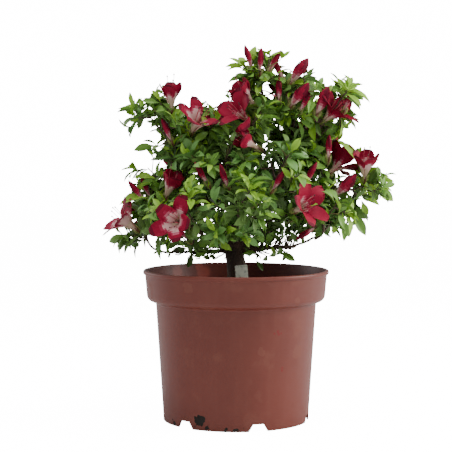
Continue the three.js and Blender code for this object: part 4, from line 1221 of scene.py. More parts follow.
class Space:
    """The space of a mass: its ellipsoid, cut by a plane between it and each neighbour."""

    def __init__(self, name):
        _, centre, reach = MASSES[name]
        self.centre = Vector(centre)
        self.reach = Vector(reach)
        size = sum(reach) / 3
        self.walls = []
        for other_name, (_, other_centre, other_reach) in MASSES.items():
            if other_name == name:
                continue
            way = Vector(other_centre) - self.centre
            apart = way.length
            distance = (apart ** 2 + size ** 2 - (sum(other_reach) / 3) ** 2) / (2 * apart)
            self.walls.append((way / apart, distance))

    def reaches(self, point, share=1.0):
        start = point - self.centre
        spread = sum((start[i] / self.reach[i]) ** 2 for i in range(3))
        return spread <= share ** 2 and point.z >= LOWEST_LEAF

    def holds(self, point, room):
        if not self.reaches(point):
            return False
        start = point - self.centre
        return all(start.dot(way) < distance - room for way, distance in self.walls)

    def fill_tip(self, k):
        """The tip with number k of those that fill the ellipsoid evenly."""
        shares = [(0.5 + (k + 1) * step) % 1 for step in FILL_STEPS]
        height = 1 - 2 * shares[0]
        turn = 2 * math.pi * shares[1]
        ring = math.sqrt(1 - height * height)
        way = Vector((ring * math.cos(turn), ring * math.sin(turn), height))
        far = NEAREST_TIP + (FURTHEST_TIP - NEAREST_TIP) * math.sqrt(shares[2])
        return self.centre + way * self.reach * far


SPACES = [Space(name) for name in MASSES]


def seen(point):
    """Where the camera sees a point on the upright plane through the pot's axis."""
    share = -EYE.y / (point.y - EYE.y)
    return EYE.x + (point.x - EYE.x) * share, EYE.z + (point.z - EYE.z) * share


def in_sky(point):
    """Whether a point is in one of the gaps where the front view shows sky."""
    x, z = seen(point)
    return any((x - sx) ** 2 + (z - sz) ** 2 < radius ** 2 for (sx, sz), radius in SKY)


def hides_flower(point):
    """Whether a leaf at a point would stand before one of the flowers that the front shows."""
    x, z = seen(point)
    for form, foot, way, *_ in SHOWN:
        axis = Vector(way).normalized()
        for reach, radius in IN_VIEW.get(form, []):
            middle = Vector(foot) + axis * reach
            fx, fz = seen(middle)
            if (x - fx) ** 2 + (z - fz) ** 2 < radius ** 2 and point.y < middle.y + radius * 0.4:
                return True
    return False


def in_outline(point, room=0):
    """Whether the front view has plant at a point and as far as this room beside it."""
    if in_sky(point):
        return False
    x, z = seen(point)
    steps = [(0, 0), (room, 0), (-room, 0), (0, room), (0, -room)] if room else [(0, 0)]
    return all(inside_outline(x + dx, z + dz) for dx, dz in steps)


def inside_outline(x, z):
    inside = False
    for (x1, z1), (x2, z2) in zip(OUTLINE, OUTLINE[1:] + OUTLINE[:1]):
        if (z1 > z) != (z2 > z) and x < x1 + (z - z1) / (z2 - z1) * (x2 - x1):
            inside = not inside
    return inside


class Joint:
    """A place on a twig from which others can grow, and how many sprays grow beyond it."""

    def __init__(self, place, way, parent, run, is_tip):
        self.place = place
        self.way = way
        self.parent = parent
        self.run = run
        self.is_tip = is_tip
        self.carries = 0


class Spray:
    """A shoot's end: where it is, the way it points, what it carries, its twig and its root joint.

    One that the front shows is marked so, and may have leaves of its own.
    """

    def __init__(self, foot, axis, form, twig, root, seed, is_shown, own_leaves):
        self.foot = foot
        self.axis = axis
        self.form = form
        self.twig = twig
        self.root = root
        self.random = seeded(seed)
        self.is_shown = is_shown
        self.own_leaves = own_leaves


class Mass:
    """Twigs and sprays of one mass: each spray grows from the nearest joint that is there."""

    def __init__(self, name):
        self.name = name
        self.space = Space(name)
        points, radii = LIMBS[MASSES[name][0]]
        way = (points[3] - points[2]).normalized()
        start = points[3] + way * 0.3
        heart = start.lerp(self.space.centre, STEM_SHARE)
        first = start + way * (start - heart).length * STEM_BEND
        self.stem = (points[3] - way * 2, first, first.lerp(heart, 0.5), heart)
        self.stem_radius = radii[1]
        self.joints = [Joint(start, way, -1, 0, True)]
        self.add_joints((start, first, first.lerp(heart, 0.5), heart), STEM_STEPS, 0)
        self.sprays = []
        self.grow()

    def add_joints(self, curve, steps, parent):
        for i in range(1, steps + 1):
            place = on_curve(curve, i / steps)
            step = place - self.joints[parent].place
            run = self.joints[parent].run + step.length
            self.joints.append(Joint(place, step.normalized(), parent, run, False))
            parent = len(self.joints) - 1
        return parent

    def best_joint(self, foot):
        best, best_cost = -1, math.inf
        for j, joint in enumerate(self.joints):
            reach = foot - joint.place
            far = reach.length
            if j == 0 or joint.is_tip or far < SHORTEST_TWIG:
                continue
            turn = 1 - reach.dot(joint.way) / far
            cost = far * (1 + TURN_COST * turn) + RUN_COST * joint.run
            if cost < best_cost:
                best, best_cost = j, cost
        return best

    def grow(self):
        shown = [entry for entry in SHOWN if self.space.holds(Vector(entry[1]), 0)]
        is_back = self.space.centre.y > BACK_STARTS
        for k in range(MOST_TRIES):
            if len(self.sprays) >= (BACK_SPRAYS if is_back else SPRAYS):
                break
            is_shown = k < len(shown)
            foot = Vector(shown[k][1]) if is_shown else self.space.fill_tip(k - len(shown))
            form = shown[k][0] if is_shown else "leaves"
            if is_back and k % BACK_EVERY == 2:
                form = BACK_FLOWERS[k // BACK_EVERY % len(BACK_FLOWERS)]
            if not self.space.holds(foot, 0 if is_shown else FOOT_ROOM):
                continue
            if not is_shown and (hides_flower(foot) or not in_outline(foot, EDGE_ROOM)):
                continue
            best = self.best_joint(foot)
            joint = self.joints[best]
            reach = foot - joint.place
            far = reach.length
            reach.normalize()
            if is_shown:
                axis = Vector(shown[k][2]).normalized()
            else:
                outwards = (foot - Vector(CROWN_CENTRE)).normalized()
                axis = reach * SPRAY_LEAN[0] + outwards * SPRAY_LEAN[1] + UP * SPRAY_LEAN[2]
                axis.normalize()
            bend = far * TWIG_BEND
            leaving = (joint.way + reach * TWIG_SPLAY).normalized()
            twig = (joint.place, joint.place + leaving * bend, foot - axis * bend, foot)
            points = [on_curve(twig, i / TWIG_TESTS) for i in range(1, TWIG_TESTS + 1)]
            if not all(self.space.holds(p, TWIG_ROOM) and clear_of_limbs(p, LIMB_ROOM)
                       for p in points):
                continue
            tip = self.add_joints(twig, TWIG_STEPS, best)
            self.joints[tip].is_tip = True
            j = tip
            while j >= 0:
                self.joints[j].carries += 1
                j = self.joints[j].parent
            seed = 1 + k + 1000 * (1 + list(MASSES).index(self.name))
            own_leaves = shown[k][3] if is_shown and len(shown[k]) > 3 else []
            self.sprays.append(Spray(foot, axis, form, twig, best, seed, is_shown, own_leaves))


def twig_radius(carries):
    return TWIG_RADIUS + TWIG_SWELL * math.sqrt(carries)


def skin(rings, feet, tips):
    """Closed bodies over rings of points: rings[body, row, column], with an end point each side."""
    bodies, rows, columns, _ = rings.shape
    size = rows * columns + 2
    points = np.concatenate([rings.reshape(bodies, -1, 3), feet[:, None], tips[:, None]], axis=1)
    column = np.arange(columns)
    after = (column + 1) % columns
    quads = []
    for row in range(rows - 1):
        low, high = row * columns, (row + 1) * columns
        quads.append(np.stack([low + column, low + after, high + after, high + column], axis=1))
    last = (rows - 1) * columns
    foot = np.full(columns, rows * columns)
    caps = np.concatenate([
        np.stack([after, column, foot], axis=1),
        np.stack([last + column, last + after, foot + 1], axis=1),
    ])
    quads = np.concatenate(quads) if quads else np.zeros((0, 4), int)
    first = points[0]
    triangles = np.concatenate([caps, quads[:, :3], quads[:, [0, 2, 3]]])
    a, b, c = first[triangles[:, 0]], first[triangles[:, 1]], first[triangles[:, 2]]
    if np.einsum("ij,ij->", a - first[0], np.cross(b - first[0], c - first[0])) < 0:
        quads, caps = quads[:, ::-1], caps[:, ::-1]
    start = np.arange(bodies)[:, None, None] * size
    faces = (quads[None] + start).reshape(-1, 4).tolist()
    faces += (caps[None] + start).reshape(-1, 3).tolist()
    return points.reshape(-1, 3), faces


def joined(name, parts, bands=None):
    """One piece from several skins, in millimetres from the pot's axis."""
    points, faces, start = [], [], 0
    for part_points, part_faces in parts:
        points.append(part_points)
        faces += [[i + start for i in face] for face in part_faces]
        start += len(part_points)
    mesh = bpy.data.meshes.new(name)
    places = np.concatenate(points) * MM + np.array(POT_AXIS)
    mesh.from_pydata(places.tolist(), [], faces)
    mesh.update()
    if bands is not None:
        mesh.polygons.foreach_set("material_index", np.concatenate(bands))
    piece = bpy.data.objects.new(name, mesh)
    bpy.context.scene.collection.objects.link(piece)
    return piece


def tube(path, radii, sides):
    """A closed tube along a path, with its section carried on without a twist."""
    path = [Vector(p) for p in path]
    way = (path[1] - path[0]).normalized()
    side = way.orthogonal().normalized()
    rings = []
    for i, (point, radius) in enumerate(zip(path, radii)):
        ahead = path[min(i + 1, len(path) - 1)] - path[max(i - 1, 0)]
        turn = way.rotation_difference(ahead.normalized())
        way = ahead.normalized()
        side = (turn @ side).normalized()
        other = way.cross(side)
        rings.append([
            point + (side * math.cos(a) + other * math.sin(a)) * radius
            for a in (2 * math.pi * k / sides for k in range(sides))])
    tip = path[-1] + way * radii[-1] * TUBE_TIP
    return skin(np.array([rings]), np.array([path[0]]), np.array([tip]))


def kinked(points, random, amount):
    """A path that bends a little at each node, as twigs do."""
    path = [points[0]]
    for point in points[1:-1]:
        path.append(point + Vector([random(-amount, amount) for _ in range(3)]))
    return [*path, points[-1]]


class Foliage:
    """Leaves, twigs and flowers as they are grown, kept until each kind is made into pieces."""

    def __init__(self):
        self.leaves = {tint: [] for tint in LEAF_TINTS}
        self.twigs = {age: [] for age in TWIG_COLOURS}
        self.petals = []
        self.buds = []
        self.small = {kind: [] for kind in SMALL_COLOURS}

    def add_leaf(self, tint, root, way, up, length, random, is_free=False):
        """One leaf, if it is free to lie anywhere or fits the crown. A shorter one is tried too."""
        shape = [random(*limits) for limits in (LEAF_CURL, LEAF_FOLD, LEAF_BREADTH, LEAF_SWAY)]
        curl = shape[0]
        for size in (length, length * SHORTER_LEAF):
            middle, tip = (root + way * size * t * 0.97 - up * size * curl * 0.5 * t * t
                           for t in (0.55, 1))
            fits = is_free or (
                may_hold(middle, MIDDLE_REACH) and in_outline(middle) and may_hold(tip, TIP_REACH))
            if fits:
                self.leaves[tint].append((root, way, up, size, *shape))
                return


def may_hold(place, share):
    """Whether a leaf may be here: near a mass, off the limbs, not in sky nor before a flower."""
    return (place.z > LOWEST_LEAF - LEAF_DROP and not in_sky(place)
            and clear_of_limbs(place, LEAF_LIMB_ROOM)
            and any(space.reaches(place, share) for space in SPACES) and not hides_flower(place))


def blade(leaves):
    """The skins of many leaves at once, each arched along its length and folded at its midrib."""
    root, way, up = (np.array([leaf[i] for leaf in leaves]) for i in range(3))
    length, curl, fold, width, sway = (
        np.array([leaf[i] for leaf in leaves])[:, None] for i in range(3, 8))
    side = np.cross(way, up)
    u = (np.arange(LEAF_ROWS) + 0.5) / (LEAF_ROWS + 0.05)
    waist = 0.25 + 0.75 * smoothstep(0.05, 0.4, u)
    half = np.sin(np.pi * u ** 1.3) ** 0.9 * waist * LEAF_WIDTH / 2
    angle = curl * u
    drop = (1 - np.cos(angle)) / curl
    reach = np.sin(angle) / curl
    drift = sway * u * (1 - u)
    spine = (root[:, None] + way[:, None] * (reach * length)[..., None]
             - up[:, None] * (drop * length)[..., None]
             + side[:, None] * (drift * length)[..., None])
    normal = up[:, None] * np.cos(angle)[..., None] + way[:, None] * np.sin(angle)[..., None]
    columns = np.linspace(-1, 1, LEAF_COLUMNS)
    spread = half[None, :, None] * length[:, :, None] * width[:, :, None] * columns
    lift = np.abs(spread) * np.sin(fold)[:, :, None] * (1.25 - 0.35 * np.abs(columns))
    top = (spine[:, :, None] + side[:, None, None] * (spread * np.cos(fold)[:, :, None])[..., None]
           + normal[:, :, None] * lift[..., None])
    under = top[:, :, -2:0:-1] - normal[:, :, None] * LEAF_THICKNESS
    end = 1.02 * curl[:, 0]
    tips = (root + way * (np.sin(end) / curl[:, 0] * length[:, 0])[:, None]
            - up * ((1 - np.cos(end)) / curl[:, 0] * length[:, 0])[:, None])
    return skin(np.concatenate([top, under], axis=2), root, tips)


def tint_of(spray):
    """Fresh yellow-green far out in the crown, deep green inside as painted shade, and bluish green
    as painted sheen.
    """
    out = (spray.foot - Vector(CROWN_CENTRE)).length / CROWN_REACH
    draw = spray.random()
    if draw < YOUNG_SHARE * out * out:
        return "young"
    if draw < BLUE_SHEEN_SHARE:
        return "blue_sheen"
    return "mid" if draw < MID_SHARES[0] + MID_SHARES[1] * out else "deep"


def turned_up(up, way, share):
    """A leaf's upper side, turned part of the way to the sky."""
    return (up + UP * share).cross(way).cross(way).normalized() * -1


def add_rosette(foliage, spray, foot, axis, count, scale, tint):
    """Leaves in a spiral round a shoot's end, the youngest upright and the oldest spread."""
    random = spray.random
    side = axis.orthogonal().normalized()
    phase = random(0, 2 * math.pi)
    for i in range(count):
        rank = (i + 0.5) / count
        tilt = INNER_TILT + (OUTER_TILT - INNER_TILT) * rank + random(-0.15, 0.15)
        out = Quaternion(axis, phase + i * GOLDEN_TURN) @ side
        root = foot - axis * (rank * ROSETTE_DEPTH * scale)
        way = (axis * math.cos(tilt) + out * math.sin(tilt)).normalized()
        up = axis * math.sin(tilt) - out * math.cos(tilt)
        size = random(*LEAF_LENGTH) * (YOUNGEST_LEAF + (1 - YOUNGEST_LEAF) * rank) * scale
        shade = "young" if rank < 0.2 and tint != "deep" else tint
        up = Quaternion(way, random(-LEAF_TURN, LEAF_TURN)) @ turned_up(up, way, 0.3)
        if spray.is_shown:
            side_way = way.cross(up)
            up = (up * 0.7 - side_way * SHOWN_TURN * math.copysign(1, side_way.y)).normalized()
        foliage.add_leaf(shade, root, way, up, size, random)


def add_spray(foliage, mass, spray):
    """A spray's twig, its flower, its leaves and its side shoot."""
    random = spray.random
    tint = tint_of(spray)
    points = [on_curve(spray.twig, i / (TWIG_RINGS - 1)) for i in range(TWIG_RINGS)]
    path = kinked(points, random, TWIG_KINK)
    thick = twig_radius(mass.joints[spray.root].carries * 0.5)
    radii = [thick + (TWIG_TIP - thick) * (i / (TWIG_RINGS - 1)) ** TWIG_TAPER
             for i in range(TWIG_RINGS)]
    foliage.twigs["old"].append(tube(path, radii, TWIG_SIDES))
    axis = spray.axis
    if not spray.is_shown and not all(
            in_outline(spray.foot + axis * reach, room) for reach, room in BACK_ROOM):
        spray.form = "leaves"
    if spray.form != "leaves":
        add_flower(foliage, spray)
        below = spray.foot - axis * 2
        add_rosette(foliage, spray, below, axis, FLOWER_ROSETTE, FLOWER_LEAF_SIZE, tint)
    elif spray.own_leaves:
        add_own_leaves(foliage, spray)
    else:
        count = int(random(ROSETTE[0], ROSETTE[1] + 0.99))
        add_rosette(foliage, spray, spray.foot, axis, count, 1, tint)
    first, last = TWIG_LEAF_PLACES
    for i in range(TWIG_LEAVES):
        t = first + (last - first) * i / (TWIG_LEAVES - 1)
        way_here = heading_at(spray.twig, t)
        out = Quaternion(way_here, random(0, 2 * math.pi)) @ way_here.orthogonal().normalized()
        way = (way_here * 0.6 + out).normalized()
        up = turned_up(way_here, way, 1)
        # Leaves on the twig's lower part take the deep green, as painted shade inside the crown
        shade = "deep" if t < 0.55 else tint
        size = random(*LEAF_LENGTH) * TWIG_LEAF_SIZE
        foliage.add_leaf(shade, on_curve(spray.twig, t), way, up, size, random)
    add_side_shoot(foliage, spray, random(*SIDE_SHOOT_PLACE), tint)


def add_own_leaves(foliage, spray):
    """The leaves that the front shows one by one at a shoot's end, arched a little upwards."""
    for tint, (x, z), share in spray.own_leaves:
        reach = Vector((x, spray.foot.y - 3, z)) - spray.foot
        way = (reach.normalized() + UP * 0.25 * min(1, share)).normalized()
        up = turned_up(TO_CAMERA, way, share)
        foliage.add_leaf(tint, spray.foot, way, up, reach.length * 1.05, spray.random, True)


def heading_at(curve, t):
    ahead = on_curve(curve, min(1, t + HEADING_STEP))
    return (ahead - on_curve(curve, max(0, t - HEADING_STEP))).normalized()


def add_side_shoot(foliage, spray, t, tint):
    """A finer twig from the side of a spray's twig, with a smaller rosette."""
    random = spray.random
    root = on_curve(spray.twig, t)
    way = heading_at(spray.twig, t)
    out = Quaternion(way, random(0, 2 * math.pi)) @ way.orthogonal().normalized()
    heading = (way * 0.8 + out + UP * 0.25).normalized()
    end = root + heading * random(*SIDE_SHOOT_LENGTH)
    if not may_hold(end, SHOOT_REACH) or not in_outline(end, EDGE_ROOM / 2):
        return
    axis = (heading + UP * 0.4).normalized()
    foliage.twigs["young"].append(shoot(root, end, heading, axis, random))
    count = int(random(SIDE_ROSETTE[0], SIDE_ROSETTE[1] + 0.99))
    add_rosette(foliage, spray, end, axis, count, SIDE_LEAF_SIZE, tint)


def shoot(root, end, leaving, arriving, random, thick=SHOOT_RADIUS, kink=SHOOT_KINK):
    """A thin twig between two places that leaves and arrives in given directions."""
    far = (end - root).length
    curve = (root, root + leaving * far * 0.35, end - arriving * far * 0.3, end)
    path = kinked([on_curve(curve, i / 4) for i in range(5)], random, kink)
    return tube(path, [thick * share for share in SHOOT_TAPER], SHOOT_SIDES)


def add_low_shoots(foliage):
    """The shoots and single leaves low in the crown, some of which hang over the pot's rim."""
    random = seeded(LOW_SHOOT_SEED)
    for bough, t, place, heading, count in LOW_SHOOTS:
        root, end = on_curve(LIMBS[bough][0], t), Vector(place)
        axis = Vector(heading).normalized()
        leaving = (end - root).normalized()
        foliage.twigs["old"].append(shoot(root, end, leaving, axis, random, LOW_SHOOT_RADIUS))
        side = axis.orthogonal().normalized()
        for i in range(count):
            out = Quaternion(axis, i * GOLDEN_TURN) @ side
            way = (axis * random(0.1, 0.6) + out).normalized()
            up = turned_up(axis, way, 0.8)
            # Two leaves in three take the deep green, as painted shade low in the crown
            tint = "mid" if i % 3 == 0 else "deep"
            foliage.add_leaf(tint, end, way, up, random(*LOW_LEAF_LENGTH), random, True)
    for tint, root, tip in LOW_LEAVES:
        reach = Vector(tip) - Vector(root)
        way = reach.normalized()
        up = turned_up(TO_CAMERA, way, 0.1)
        foliage.add_leaf(tint, Vector(root), way, up, reach.length, random, True)


def add_tuft(foliage, place, axis, random):
    """Three small leaves at the end of a spur."""
    side = Quaternion(axis, random(0, 2 * math.pi)) @ axis.orthogonal().normalized()
    # Two of the three take the deep green, as painted shade on the low boughs
    for tint in ("mid", "deep", "deep"):
        side = Quaternion(axis, GOLDEN_TURN) @ side
        way = (axis * 0.7 + side).normalized()
        up = turned_up(axis, way, 0.8)
        foliage.add_leaf(tint, place, way, up, random(*TUFT_LEAF_LENGTH), random)


def add_spurs(foliage):
    """Short forked twigs that stand off the boughs. Those of the low boughs have leaves."""
    random = seeded(SPUR_SEED)
    for name, (points, radii) in LIMBS.items():
        if name == "trunk":
            continue
        is_low = points[3].z < LOW_BOUGH
        count, places, thick, kink = LOW_SPURS if is_low else SPURS
        for _ in range(count):
            t = random(*places)
            root, way = on_curve(points, t), heading_at(points, t)
            out = Quaternion(way, random(0, 2 * math.pi)) @ way.orthogonal().normalized()
            leaving = (out + way * random(0, 0.8) + UP * 0.2).normalized()
            arriving = (leaving + way * 0.5 + UP * random(0, 0.8)).normalized()
            end = root + (leaving + arriving) * random(*SPUR_REACH)
            if end.z < LOWEST_LEAF + SPUR_ROOM or not in_outline(end):
                continue
            foliage.twigs["old"].append(shoot(root, end, leaving, arriving, random, thick, kink))
            if is_low:
                add_tuft(foliage, end, arriving, random)
            fork = root.lerp(end, random(*SPUR_FORK))
            tip = fork + (arriving + out.cross(way) * random(-1, 1)) * random(*FORK_REACH)
            foliage.twigs["old"].append(
                shoot(fork, tip, arriving, arriving, random, FORK_RADIUS, kink))


def frame_of(axis, turn):
    """Two directions across an axis and the axis itself, as the rows of a matrix."""
    side = Quaternion(axis, turn) @ axis.orthogonal().normalized()
    return np.array([side, axis.cross(side), axis])


def smoothstep(low, high, value):
    t = np.clip((value - low) / (high - low), 0, 1)
    return t * t * (3 - 2 * t)


def bands_of(blush):
    """The band of colour of each face of a skin, from the blush of its rings' points."""
    after = np.roll(blush, -1, axis=1)
    quads = (blush[:-1] + after[:-1] + blush[1:] + after[1:]) / 4
    caps = (blush[[0, -1]] + after[[0, -1]]) / 2
    shares = np.concatenate([quads.ravel(), caps.ravel()])
    return np.clip(shares * len(PETAL_BANDS), 0, len(PETAL_BANDS) - 1).astype(np.int32)


def petal_rings(shape, random, tilt):
    """One petal round +Z, as rings of points about its blade, with the blush of each."""
    u = (np.arange(PETAL_ROWS) + 0.5) / (PETAL_ROWS + 0.05)
    corners = np.array([
        (1.6, 0), (shape["throat"] * 0.55, shape["length"] * 0.4),
        (shape["throat"] * 1.15, shape["lift"]), (shape["rim"], shape["length"])])
    s = 1 - u
    weights = np.stack([s ** 3, 3 * s * s * u, 3 * s * u * u, u ** 3], axis=1)
    slopes = np.stack([s * s, 2 * s * u, u * u], axis=1)
    radius, height = (weights @ corners).T
    slope = slopes @ (corners[1:] - corners[:-1])
    slope /= np.linalg.norm(slope, axis=1)[:, None]
    free = smoothstep(*LOBES_PART, u)
    round_end = np.clip(1 - ((u - LOBE_WIDEST) / LOBE_END) ** 2, 0, 1) ** 0.6
    lobe = shape["lobe"] * random(0.88, 1.1) * np.where(
        u < LOBE_WIDEST, smoothstep(0.3, LOBE_WIDEST, u) * 0.42 + 0.58, round_end)
    v = np.linspace(-1, 1, PETAL_COLUMNS)
    tube_angle = v[None] * math.pi / PETALS
    tube_points = np.stack([
        radius[:, None] * np.cos(tube_angle), radius[:, None] * np.sin(tube_angle),
        np.repeat(height[:, None], len(v), axis=1)], axis=2)
    normal = np.stack([-slope[:, 1], np.zeros_like(u), slope[:, 0]], axis=1)
    ruffle = shape["ruffle"] * np.sin(v[None] * 5 + random(0, 6)) * (u[:, None] * np.abs(v)) ** 2
    cup = (0.28 - 0.3 * u[:, None]) * v[None] ** 2 * lobe[:, None] + ruffle
    lobe_points = (np.stack([radius, np.zeros_like(u), height], axis=1)[:, None]
                   + np.array([0, 1, 0]) * (v[None] * lobe[:, None])[..., None]
                   + normal[:, None] * cup[..., None])
    top = tube_points * (1 - free[:, None, None]) + lobe_points * free[:, None, None]
    across = np.repeat(normal[:, None], len(v) - 2, axis=1)
    under = top[:, -2:0:-1] - across * PETAL_THICKNESS
    ring = np.concatenate([top, under], axis=1)
    end = random(*shape["pale"]) - 0.2 * np.abs(v[None]) ** 1.4
    blush = (0.06 + 0.2 * smoothstep(0.2, 0.5, u[:, None])
             + 0.46 * smoothstep(end - 0.05, end + 0.07, u[:, None])
             + random(0.1, 0.24) * smoothstep(0.75, 0.98, u[:, None]))
    blush = np.concatenate([blush, blush[:, -2:0:-1]], axis=1)
    turn = np.array(Quaternion((0, 1, 0), tilt).to_matrix())
    foot = np.array([radius[0] * 0.6, 0, -0.5])
    tip = np.array([radius[-1], 0, height[-1]]) + np.array([slope[-1][0], 0, slope[-1][1]]) * 0.35
    return ring @ turn.T, foot @ turn.T, tip @ turn.T, blush


def add_petals(foliage, spray, axis, shape, spread):
    """Five petals about an axis, each a little different."""
    random = spray.random
    basis = frame_of(axis, random(0, 2 * math.pi))
    foot = np.array(spray.foot) + np.array(axis) * 5
    for i in range(PETALS):
        ring, base, tip, blush = petal_rings(shape, random, random(-spread, spread))
        turn = 2 * math.pi * i / PETALS + random(-spread, spread) * 0.5
        spin = np.array(Quaternion((0, 0, 1), turn).to_matrix())
        places = [np.asarray(p) @ spin.T @ basis + foot for p in (ring, base, tip)]
        part = skin(places[0][None], places[1][None], places[2][None])
        foliage.petals.append((part, bands_of(blush)))


def add_stamens(foliage, spray, axis, count):
    """Thin filaments out of the throat, each with an anther."""
    random = spray.random
    side = axis.orthogonal().normalized()
    for i in range(count):
        out = Quaternion(axis, 2 * math.pi * i / count + random(-0.3, 0.3)) @ side
        length = random(*STAMEN_LENGTH)
        start = spray.foot + axis * 8 + out * 1.5
        end = spray.foot + axis * length + out * random(3, 8) + UP * random(-2, 5)
        middle = start.lerp(end, 0.55) + out * 1 - UP * 2
        path = [start.lerp(middle, t) * (1 - t) + middle.lerp(end, t) * t
                for t in (0, 0.2, 0.4, 0.6, 0.8, 1)]
        filament = tube(path, [FILAMENT_RADIUS] * len(path), FILAMENT_SIDES)
        foliage.small["stamens"].append(filament)
        tip = (path[-1] - path[-2]).normalized()
        beads = [path[-1] + tip * step for step in ANTHER_STEPS]
        foliage.small["anthers"].append(tube(beads, ANTHER_RADII, ANTHER_SIDES))


def add_bud(foliage, spray, axis, size):
    """A closed bud: petals rolled round each other, wider past its middle and pointed."""
    length, radius = size
    random = spray.random
    t = (np.arange(BUD_ROWS) + 0.35) / BUD_ROWS
    body = radius * np.sin(np.pi * t ** 1.1) ** 0.75 * (0.6 + 0.42 * t)
    turn = 2 * np.pi * np.arange(BUD_COLUMNS) / BUD_COLUMNS
    swirl = 1 + 0.12 * np.cos(3 * (turn[None] + 2.2 * t[:, None]) + random(0, 6))
    flat = body[:, None] * swirl
    rings = np.stack([
        flat * np.cos(turn), flat * np.sin(turn),
        np.repeat((4 + t * (length - 4))[:, None], BUD_COLUMNS, axis=1)], axis=2)
    basis = frame_of(axis, random(0, 6))
    foot = np.array(spray.foot)
    ends = np.array([[0, 0, 3.5], [0, 0, length + 0.4]]) @ basis + foot
    part = skin((rings @ basis + foot)[None], ends[:1], ends[1:])
    folds = 0.12 * np.cos(3 * (turn[None] + 2.2 * t[:, None]) + 1)
    blush = 0.16 + 0.72 * smoothstep(0.1, 0.7, t[:, None]) + folds
    foliage.buds.append((part, bands_of(blush)))


def add_calyx(foliage, spray, axis, length, radius):
    """Narrow scales that hold a flower's foot."""
    random = spray.random
    side = axis.orthogonal().normalized()
    for i in range(CALYX_SCALES):
        out = Quaternion(axis, GOLDEN_TURN * i) @ side
        size = length * random(0.75, 1.15) * (1 - 0.03 * i)
        spread = radius * random(1, 1.35)
        path = [spray.foot - axis * 1.5, spray.foot + axis * size * 0.3 + out * radius * 0.85,
                spray.foot + axis * size * 0.65 + out * spread,
                spray.foot + axis * size + out * spread * 1.1]
        kind = "scales" if i % 4 == 3 else "sepals"
        foliage.small[kind].append(tube(path, CALYX_RADII, CALYX_SIDES))


def add_flower(foliage, spray):
    """The flower or buds that a spray carries, held by their calyx."""
    axis, form = spray.axis, spray.form
    if form == "buds":
        side = axis.cross(UP).normalized()
        for hand in (-1, 1):
            way = (axis + side * hand * BUD_SPREAD).normalized()
            size = [measure * spray.random(0.85, 1) for measure in CLOSED_FLOWERS["bud"]]
            add_bud(foliage, spray, way, size)
            add_calyx(foliage, spray, way, *CALYX[form])
        return
    if form in OPEN_FLOWERS:
        shape, spread, stamens = OPEN_FLOWERS[form]
        add_petals(foliage, spray, axis, shape, spread)
        add_stamens(foliage, spray, axis, stamens)
    else:
        add_bud(foliage, spray, axis, CLOSED_FLOWERS[form])
    add_calyx(foliage, spray, axis, *CALYX[form])


def make_foliage():
    """Grows every mass and makes its twigs, leaves and flowers into joined pieces."""
    foliage = Foliage()
    for mass in [Mass(name) for name in MASSES]:
        shares = [i / (STEM_RINGS - 1) for i in range(STEM_RINGS)]
        thinner = twig_radius(STEM_CARRIES) - mass.stem_radius
        points = [on_curve(mass.stem, share) for share in shares]
        radii = [mass.stem_radius + thinner * share for share in shares]
        foliage.twigs["old"].append(tube(points, radii, STEM_SIDES))
        for spray in mass.sprays:
            add_spray(foliage, mass, spray)
    add_low_shoots(foliage)
    add_spurs(foliage)
    nodes = [f"foliage_{name}" for name in MASSES]
    for tint, (colour, roughness) in LEAF_TINTS.items():
        finish = Finish(f"leaf_{tint}", colour, roughness, {"Specular IOR Level": 0.3})
        leaves = foliage.leaves[tint]
        piece = joined(f"leaves_{tint}", [blade(leaves)])
        smooth(piece, 70)
        settle(piece, [finish], nodes)
    for age, colour in TWIG_COLOURS.items():
        piece = joined(f"twigs_{age}", foliage.twigs[age])
        smooth(piece, 60)
        settle(piece, [Finish(f"twig_{age}", colour, 0.75)], nodes)
    petal_finishes = [
        Finish(f"petal_{name}", colour, 0.6, {"Specular IOR Level": 0.12})
        for name, colour in PETAL_BANDS.items()]
    for name, parts in (("petals", foliage.petals), ("buds", foliage.buds)):
        piece = joined(name, [part for part, _ in parts], [bands for _, bands in parts])
        smooth(piece, 80)
        settle(piece, petal_finishes, nodes)
    for name, colour in SMALL_COLOURS.items():
        piece = joined(name, foliage.small[name])
        smooth(piece, 60)
        settle(piece, [Finish(f"azalea_{name}", colour, 0.6)], nodes)


def make_crumbs():
    """Crumbs and bits of bark that lie on the soil."""
    random = seeded(BITS_SEED)
    edge, mound = BITS_SLOPE
    for name, (count, sizes, colour) in SOIL_BITS.items():
        parts = []
        for _ in range(count):
            radius = math.sqrt(random(0.03, 1)) * BITS_REACH
            turn = random(0, 2 * math.pi)
            size = random(*sizes)
            share = min(1, (edge - radius) / (edge - mound))
            height = SOIL_EDGE + (SOIL_TOP - SOIL_EDGE) * share
            place = Vector((radius * math.cos(turn), radius * math.sin(turn), height))
            heading = Vector((random(-1, 1), random(-1, 1), random(-0.3, 0.3))).normalized()
            long = size * random(0.5, 1.3)
            path = [place - heading * long, place - heading * long * 0.4,
                    place + heading * long * 0.5, place + heading * long]
            radii = [size * 0.5, size * random(0.8, 1), size * 0.85, size * 0.4]
            parts.append(tube(path, radii, BITS_SIDES))
        piece = joined(name, parts)
        smooth(piece, 30)
        finish = Finish(name, colour, 0.95)
        finish.bump(finish.noise(900, 3), 0.0006, 0.8)
        settle(piece, [finish], ["soil"])


def make_camera():
    bpy.ops.object.camera_add(
        location=EYE * MM + POT_AXIS, rotation=(math.radians(90 - CAMERA_PITCH), 0, 0))
    camera = bpy.context.active_object
    camera.data.sensor_width = SENSOR
    camera.data.lens = FOCAL_PIXELS / IMAGE_PIXELS * SENSOR
    bpy.context.scene.camera = camera


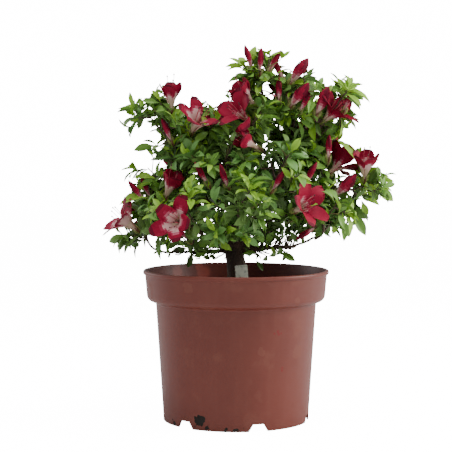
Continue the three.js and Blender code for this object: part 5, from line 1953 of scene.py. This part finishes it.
def seen_by_camera(tree, behind, shown):
    """Joins two shaders of a tree: the first gives light, and the camera sees the second."""
    rays = tree.nodes.new("ShaderNodeLightPath")
    mix = tree.nodes.new("ShaderNodeMixShader")
    tree.links.new(rays.outputs["Is Camera Ray"], mix.inputs[0])
    tree.links.new(behind.outputs[0], mix.inputs[1])
    tree.links.new(shown.outputs[0], mix.inputs[2])
    return mix


def make_studio():
    """A white floor that runs into a white backdrop, and soft light from above and the right."""
    bpy.ops.mesh.primitive_plane_add(size=FLOOR_SIZE, location=(0, 0, 0))
    floor = named("studio_floor")
    finish = Finish("white_floor", (0.8, 0.8, 0.8), 0.8, {"Specular IOR Level": 0})
    glow = finish.tree.nodes.new("ShaderNodeEmission")
    glow.inputs["Strength"].default_value = FLOOR_WHITE
    both = finish.tree.nodes.new("ShaderNodeAddShader")
    finish.tree.links.new(finish.shader.outputs[0], both.inputs[0])
    finish.tree.links.new(glow.outputs[0], both.inputs[1])
    surface = seen_by_camera(finish.tree, finish.shader, both)
    finish.tree.links.new(
        surface.outputs[0], finish.tree.nodes["Material Output"].inputs["Surface"])
    floor.data.materials.append(finish.material)
    world = bpy.data.worlds.new("studio")
    bpy.context.scene.world = world
    world.use_nodes = True
    tree = world.node_tree
    light = tree.nodes["Background"]
    light.inputs["Color"].default_value = (1, 1, 1, 1)
    light.inputs["Strength"].default_value = SURROUND
    backdrop = tree.nodes.new("ShaderNodeBackground")
    backdrop.inputs["Color"].default_value = (1, 1, 1, 1)
    backdrop.inputs["Strength"].default_value = WHITE
    surface = seen_by_camera(tree, light, backdrop)
    tree.links.new(surface.outputs[0], tree.nodes["World Output"].inputs["Surface"])
    for name, (place, target, size, power, colour) in LAMPS.items():
        bpy.ops.object.light_add(type="AREA", location=place)
        lamp = bpy.context.active_object
        lamp.name = name
        lamp.data.size = size
        lamp.data.energy = power
        lamp.data.color = colour
        lamp.rotation_euler = (Vector(target) - Vector(place)).to_track_quat("-Z", "Y").to_euler()


make_camera()
make_pot()
make_soil()
make_crumbs()
make_tag()
make_wood()
make_foliage()
make_studio()
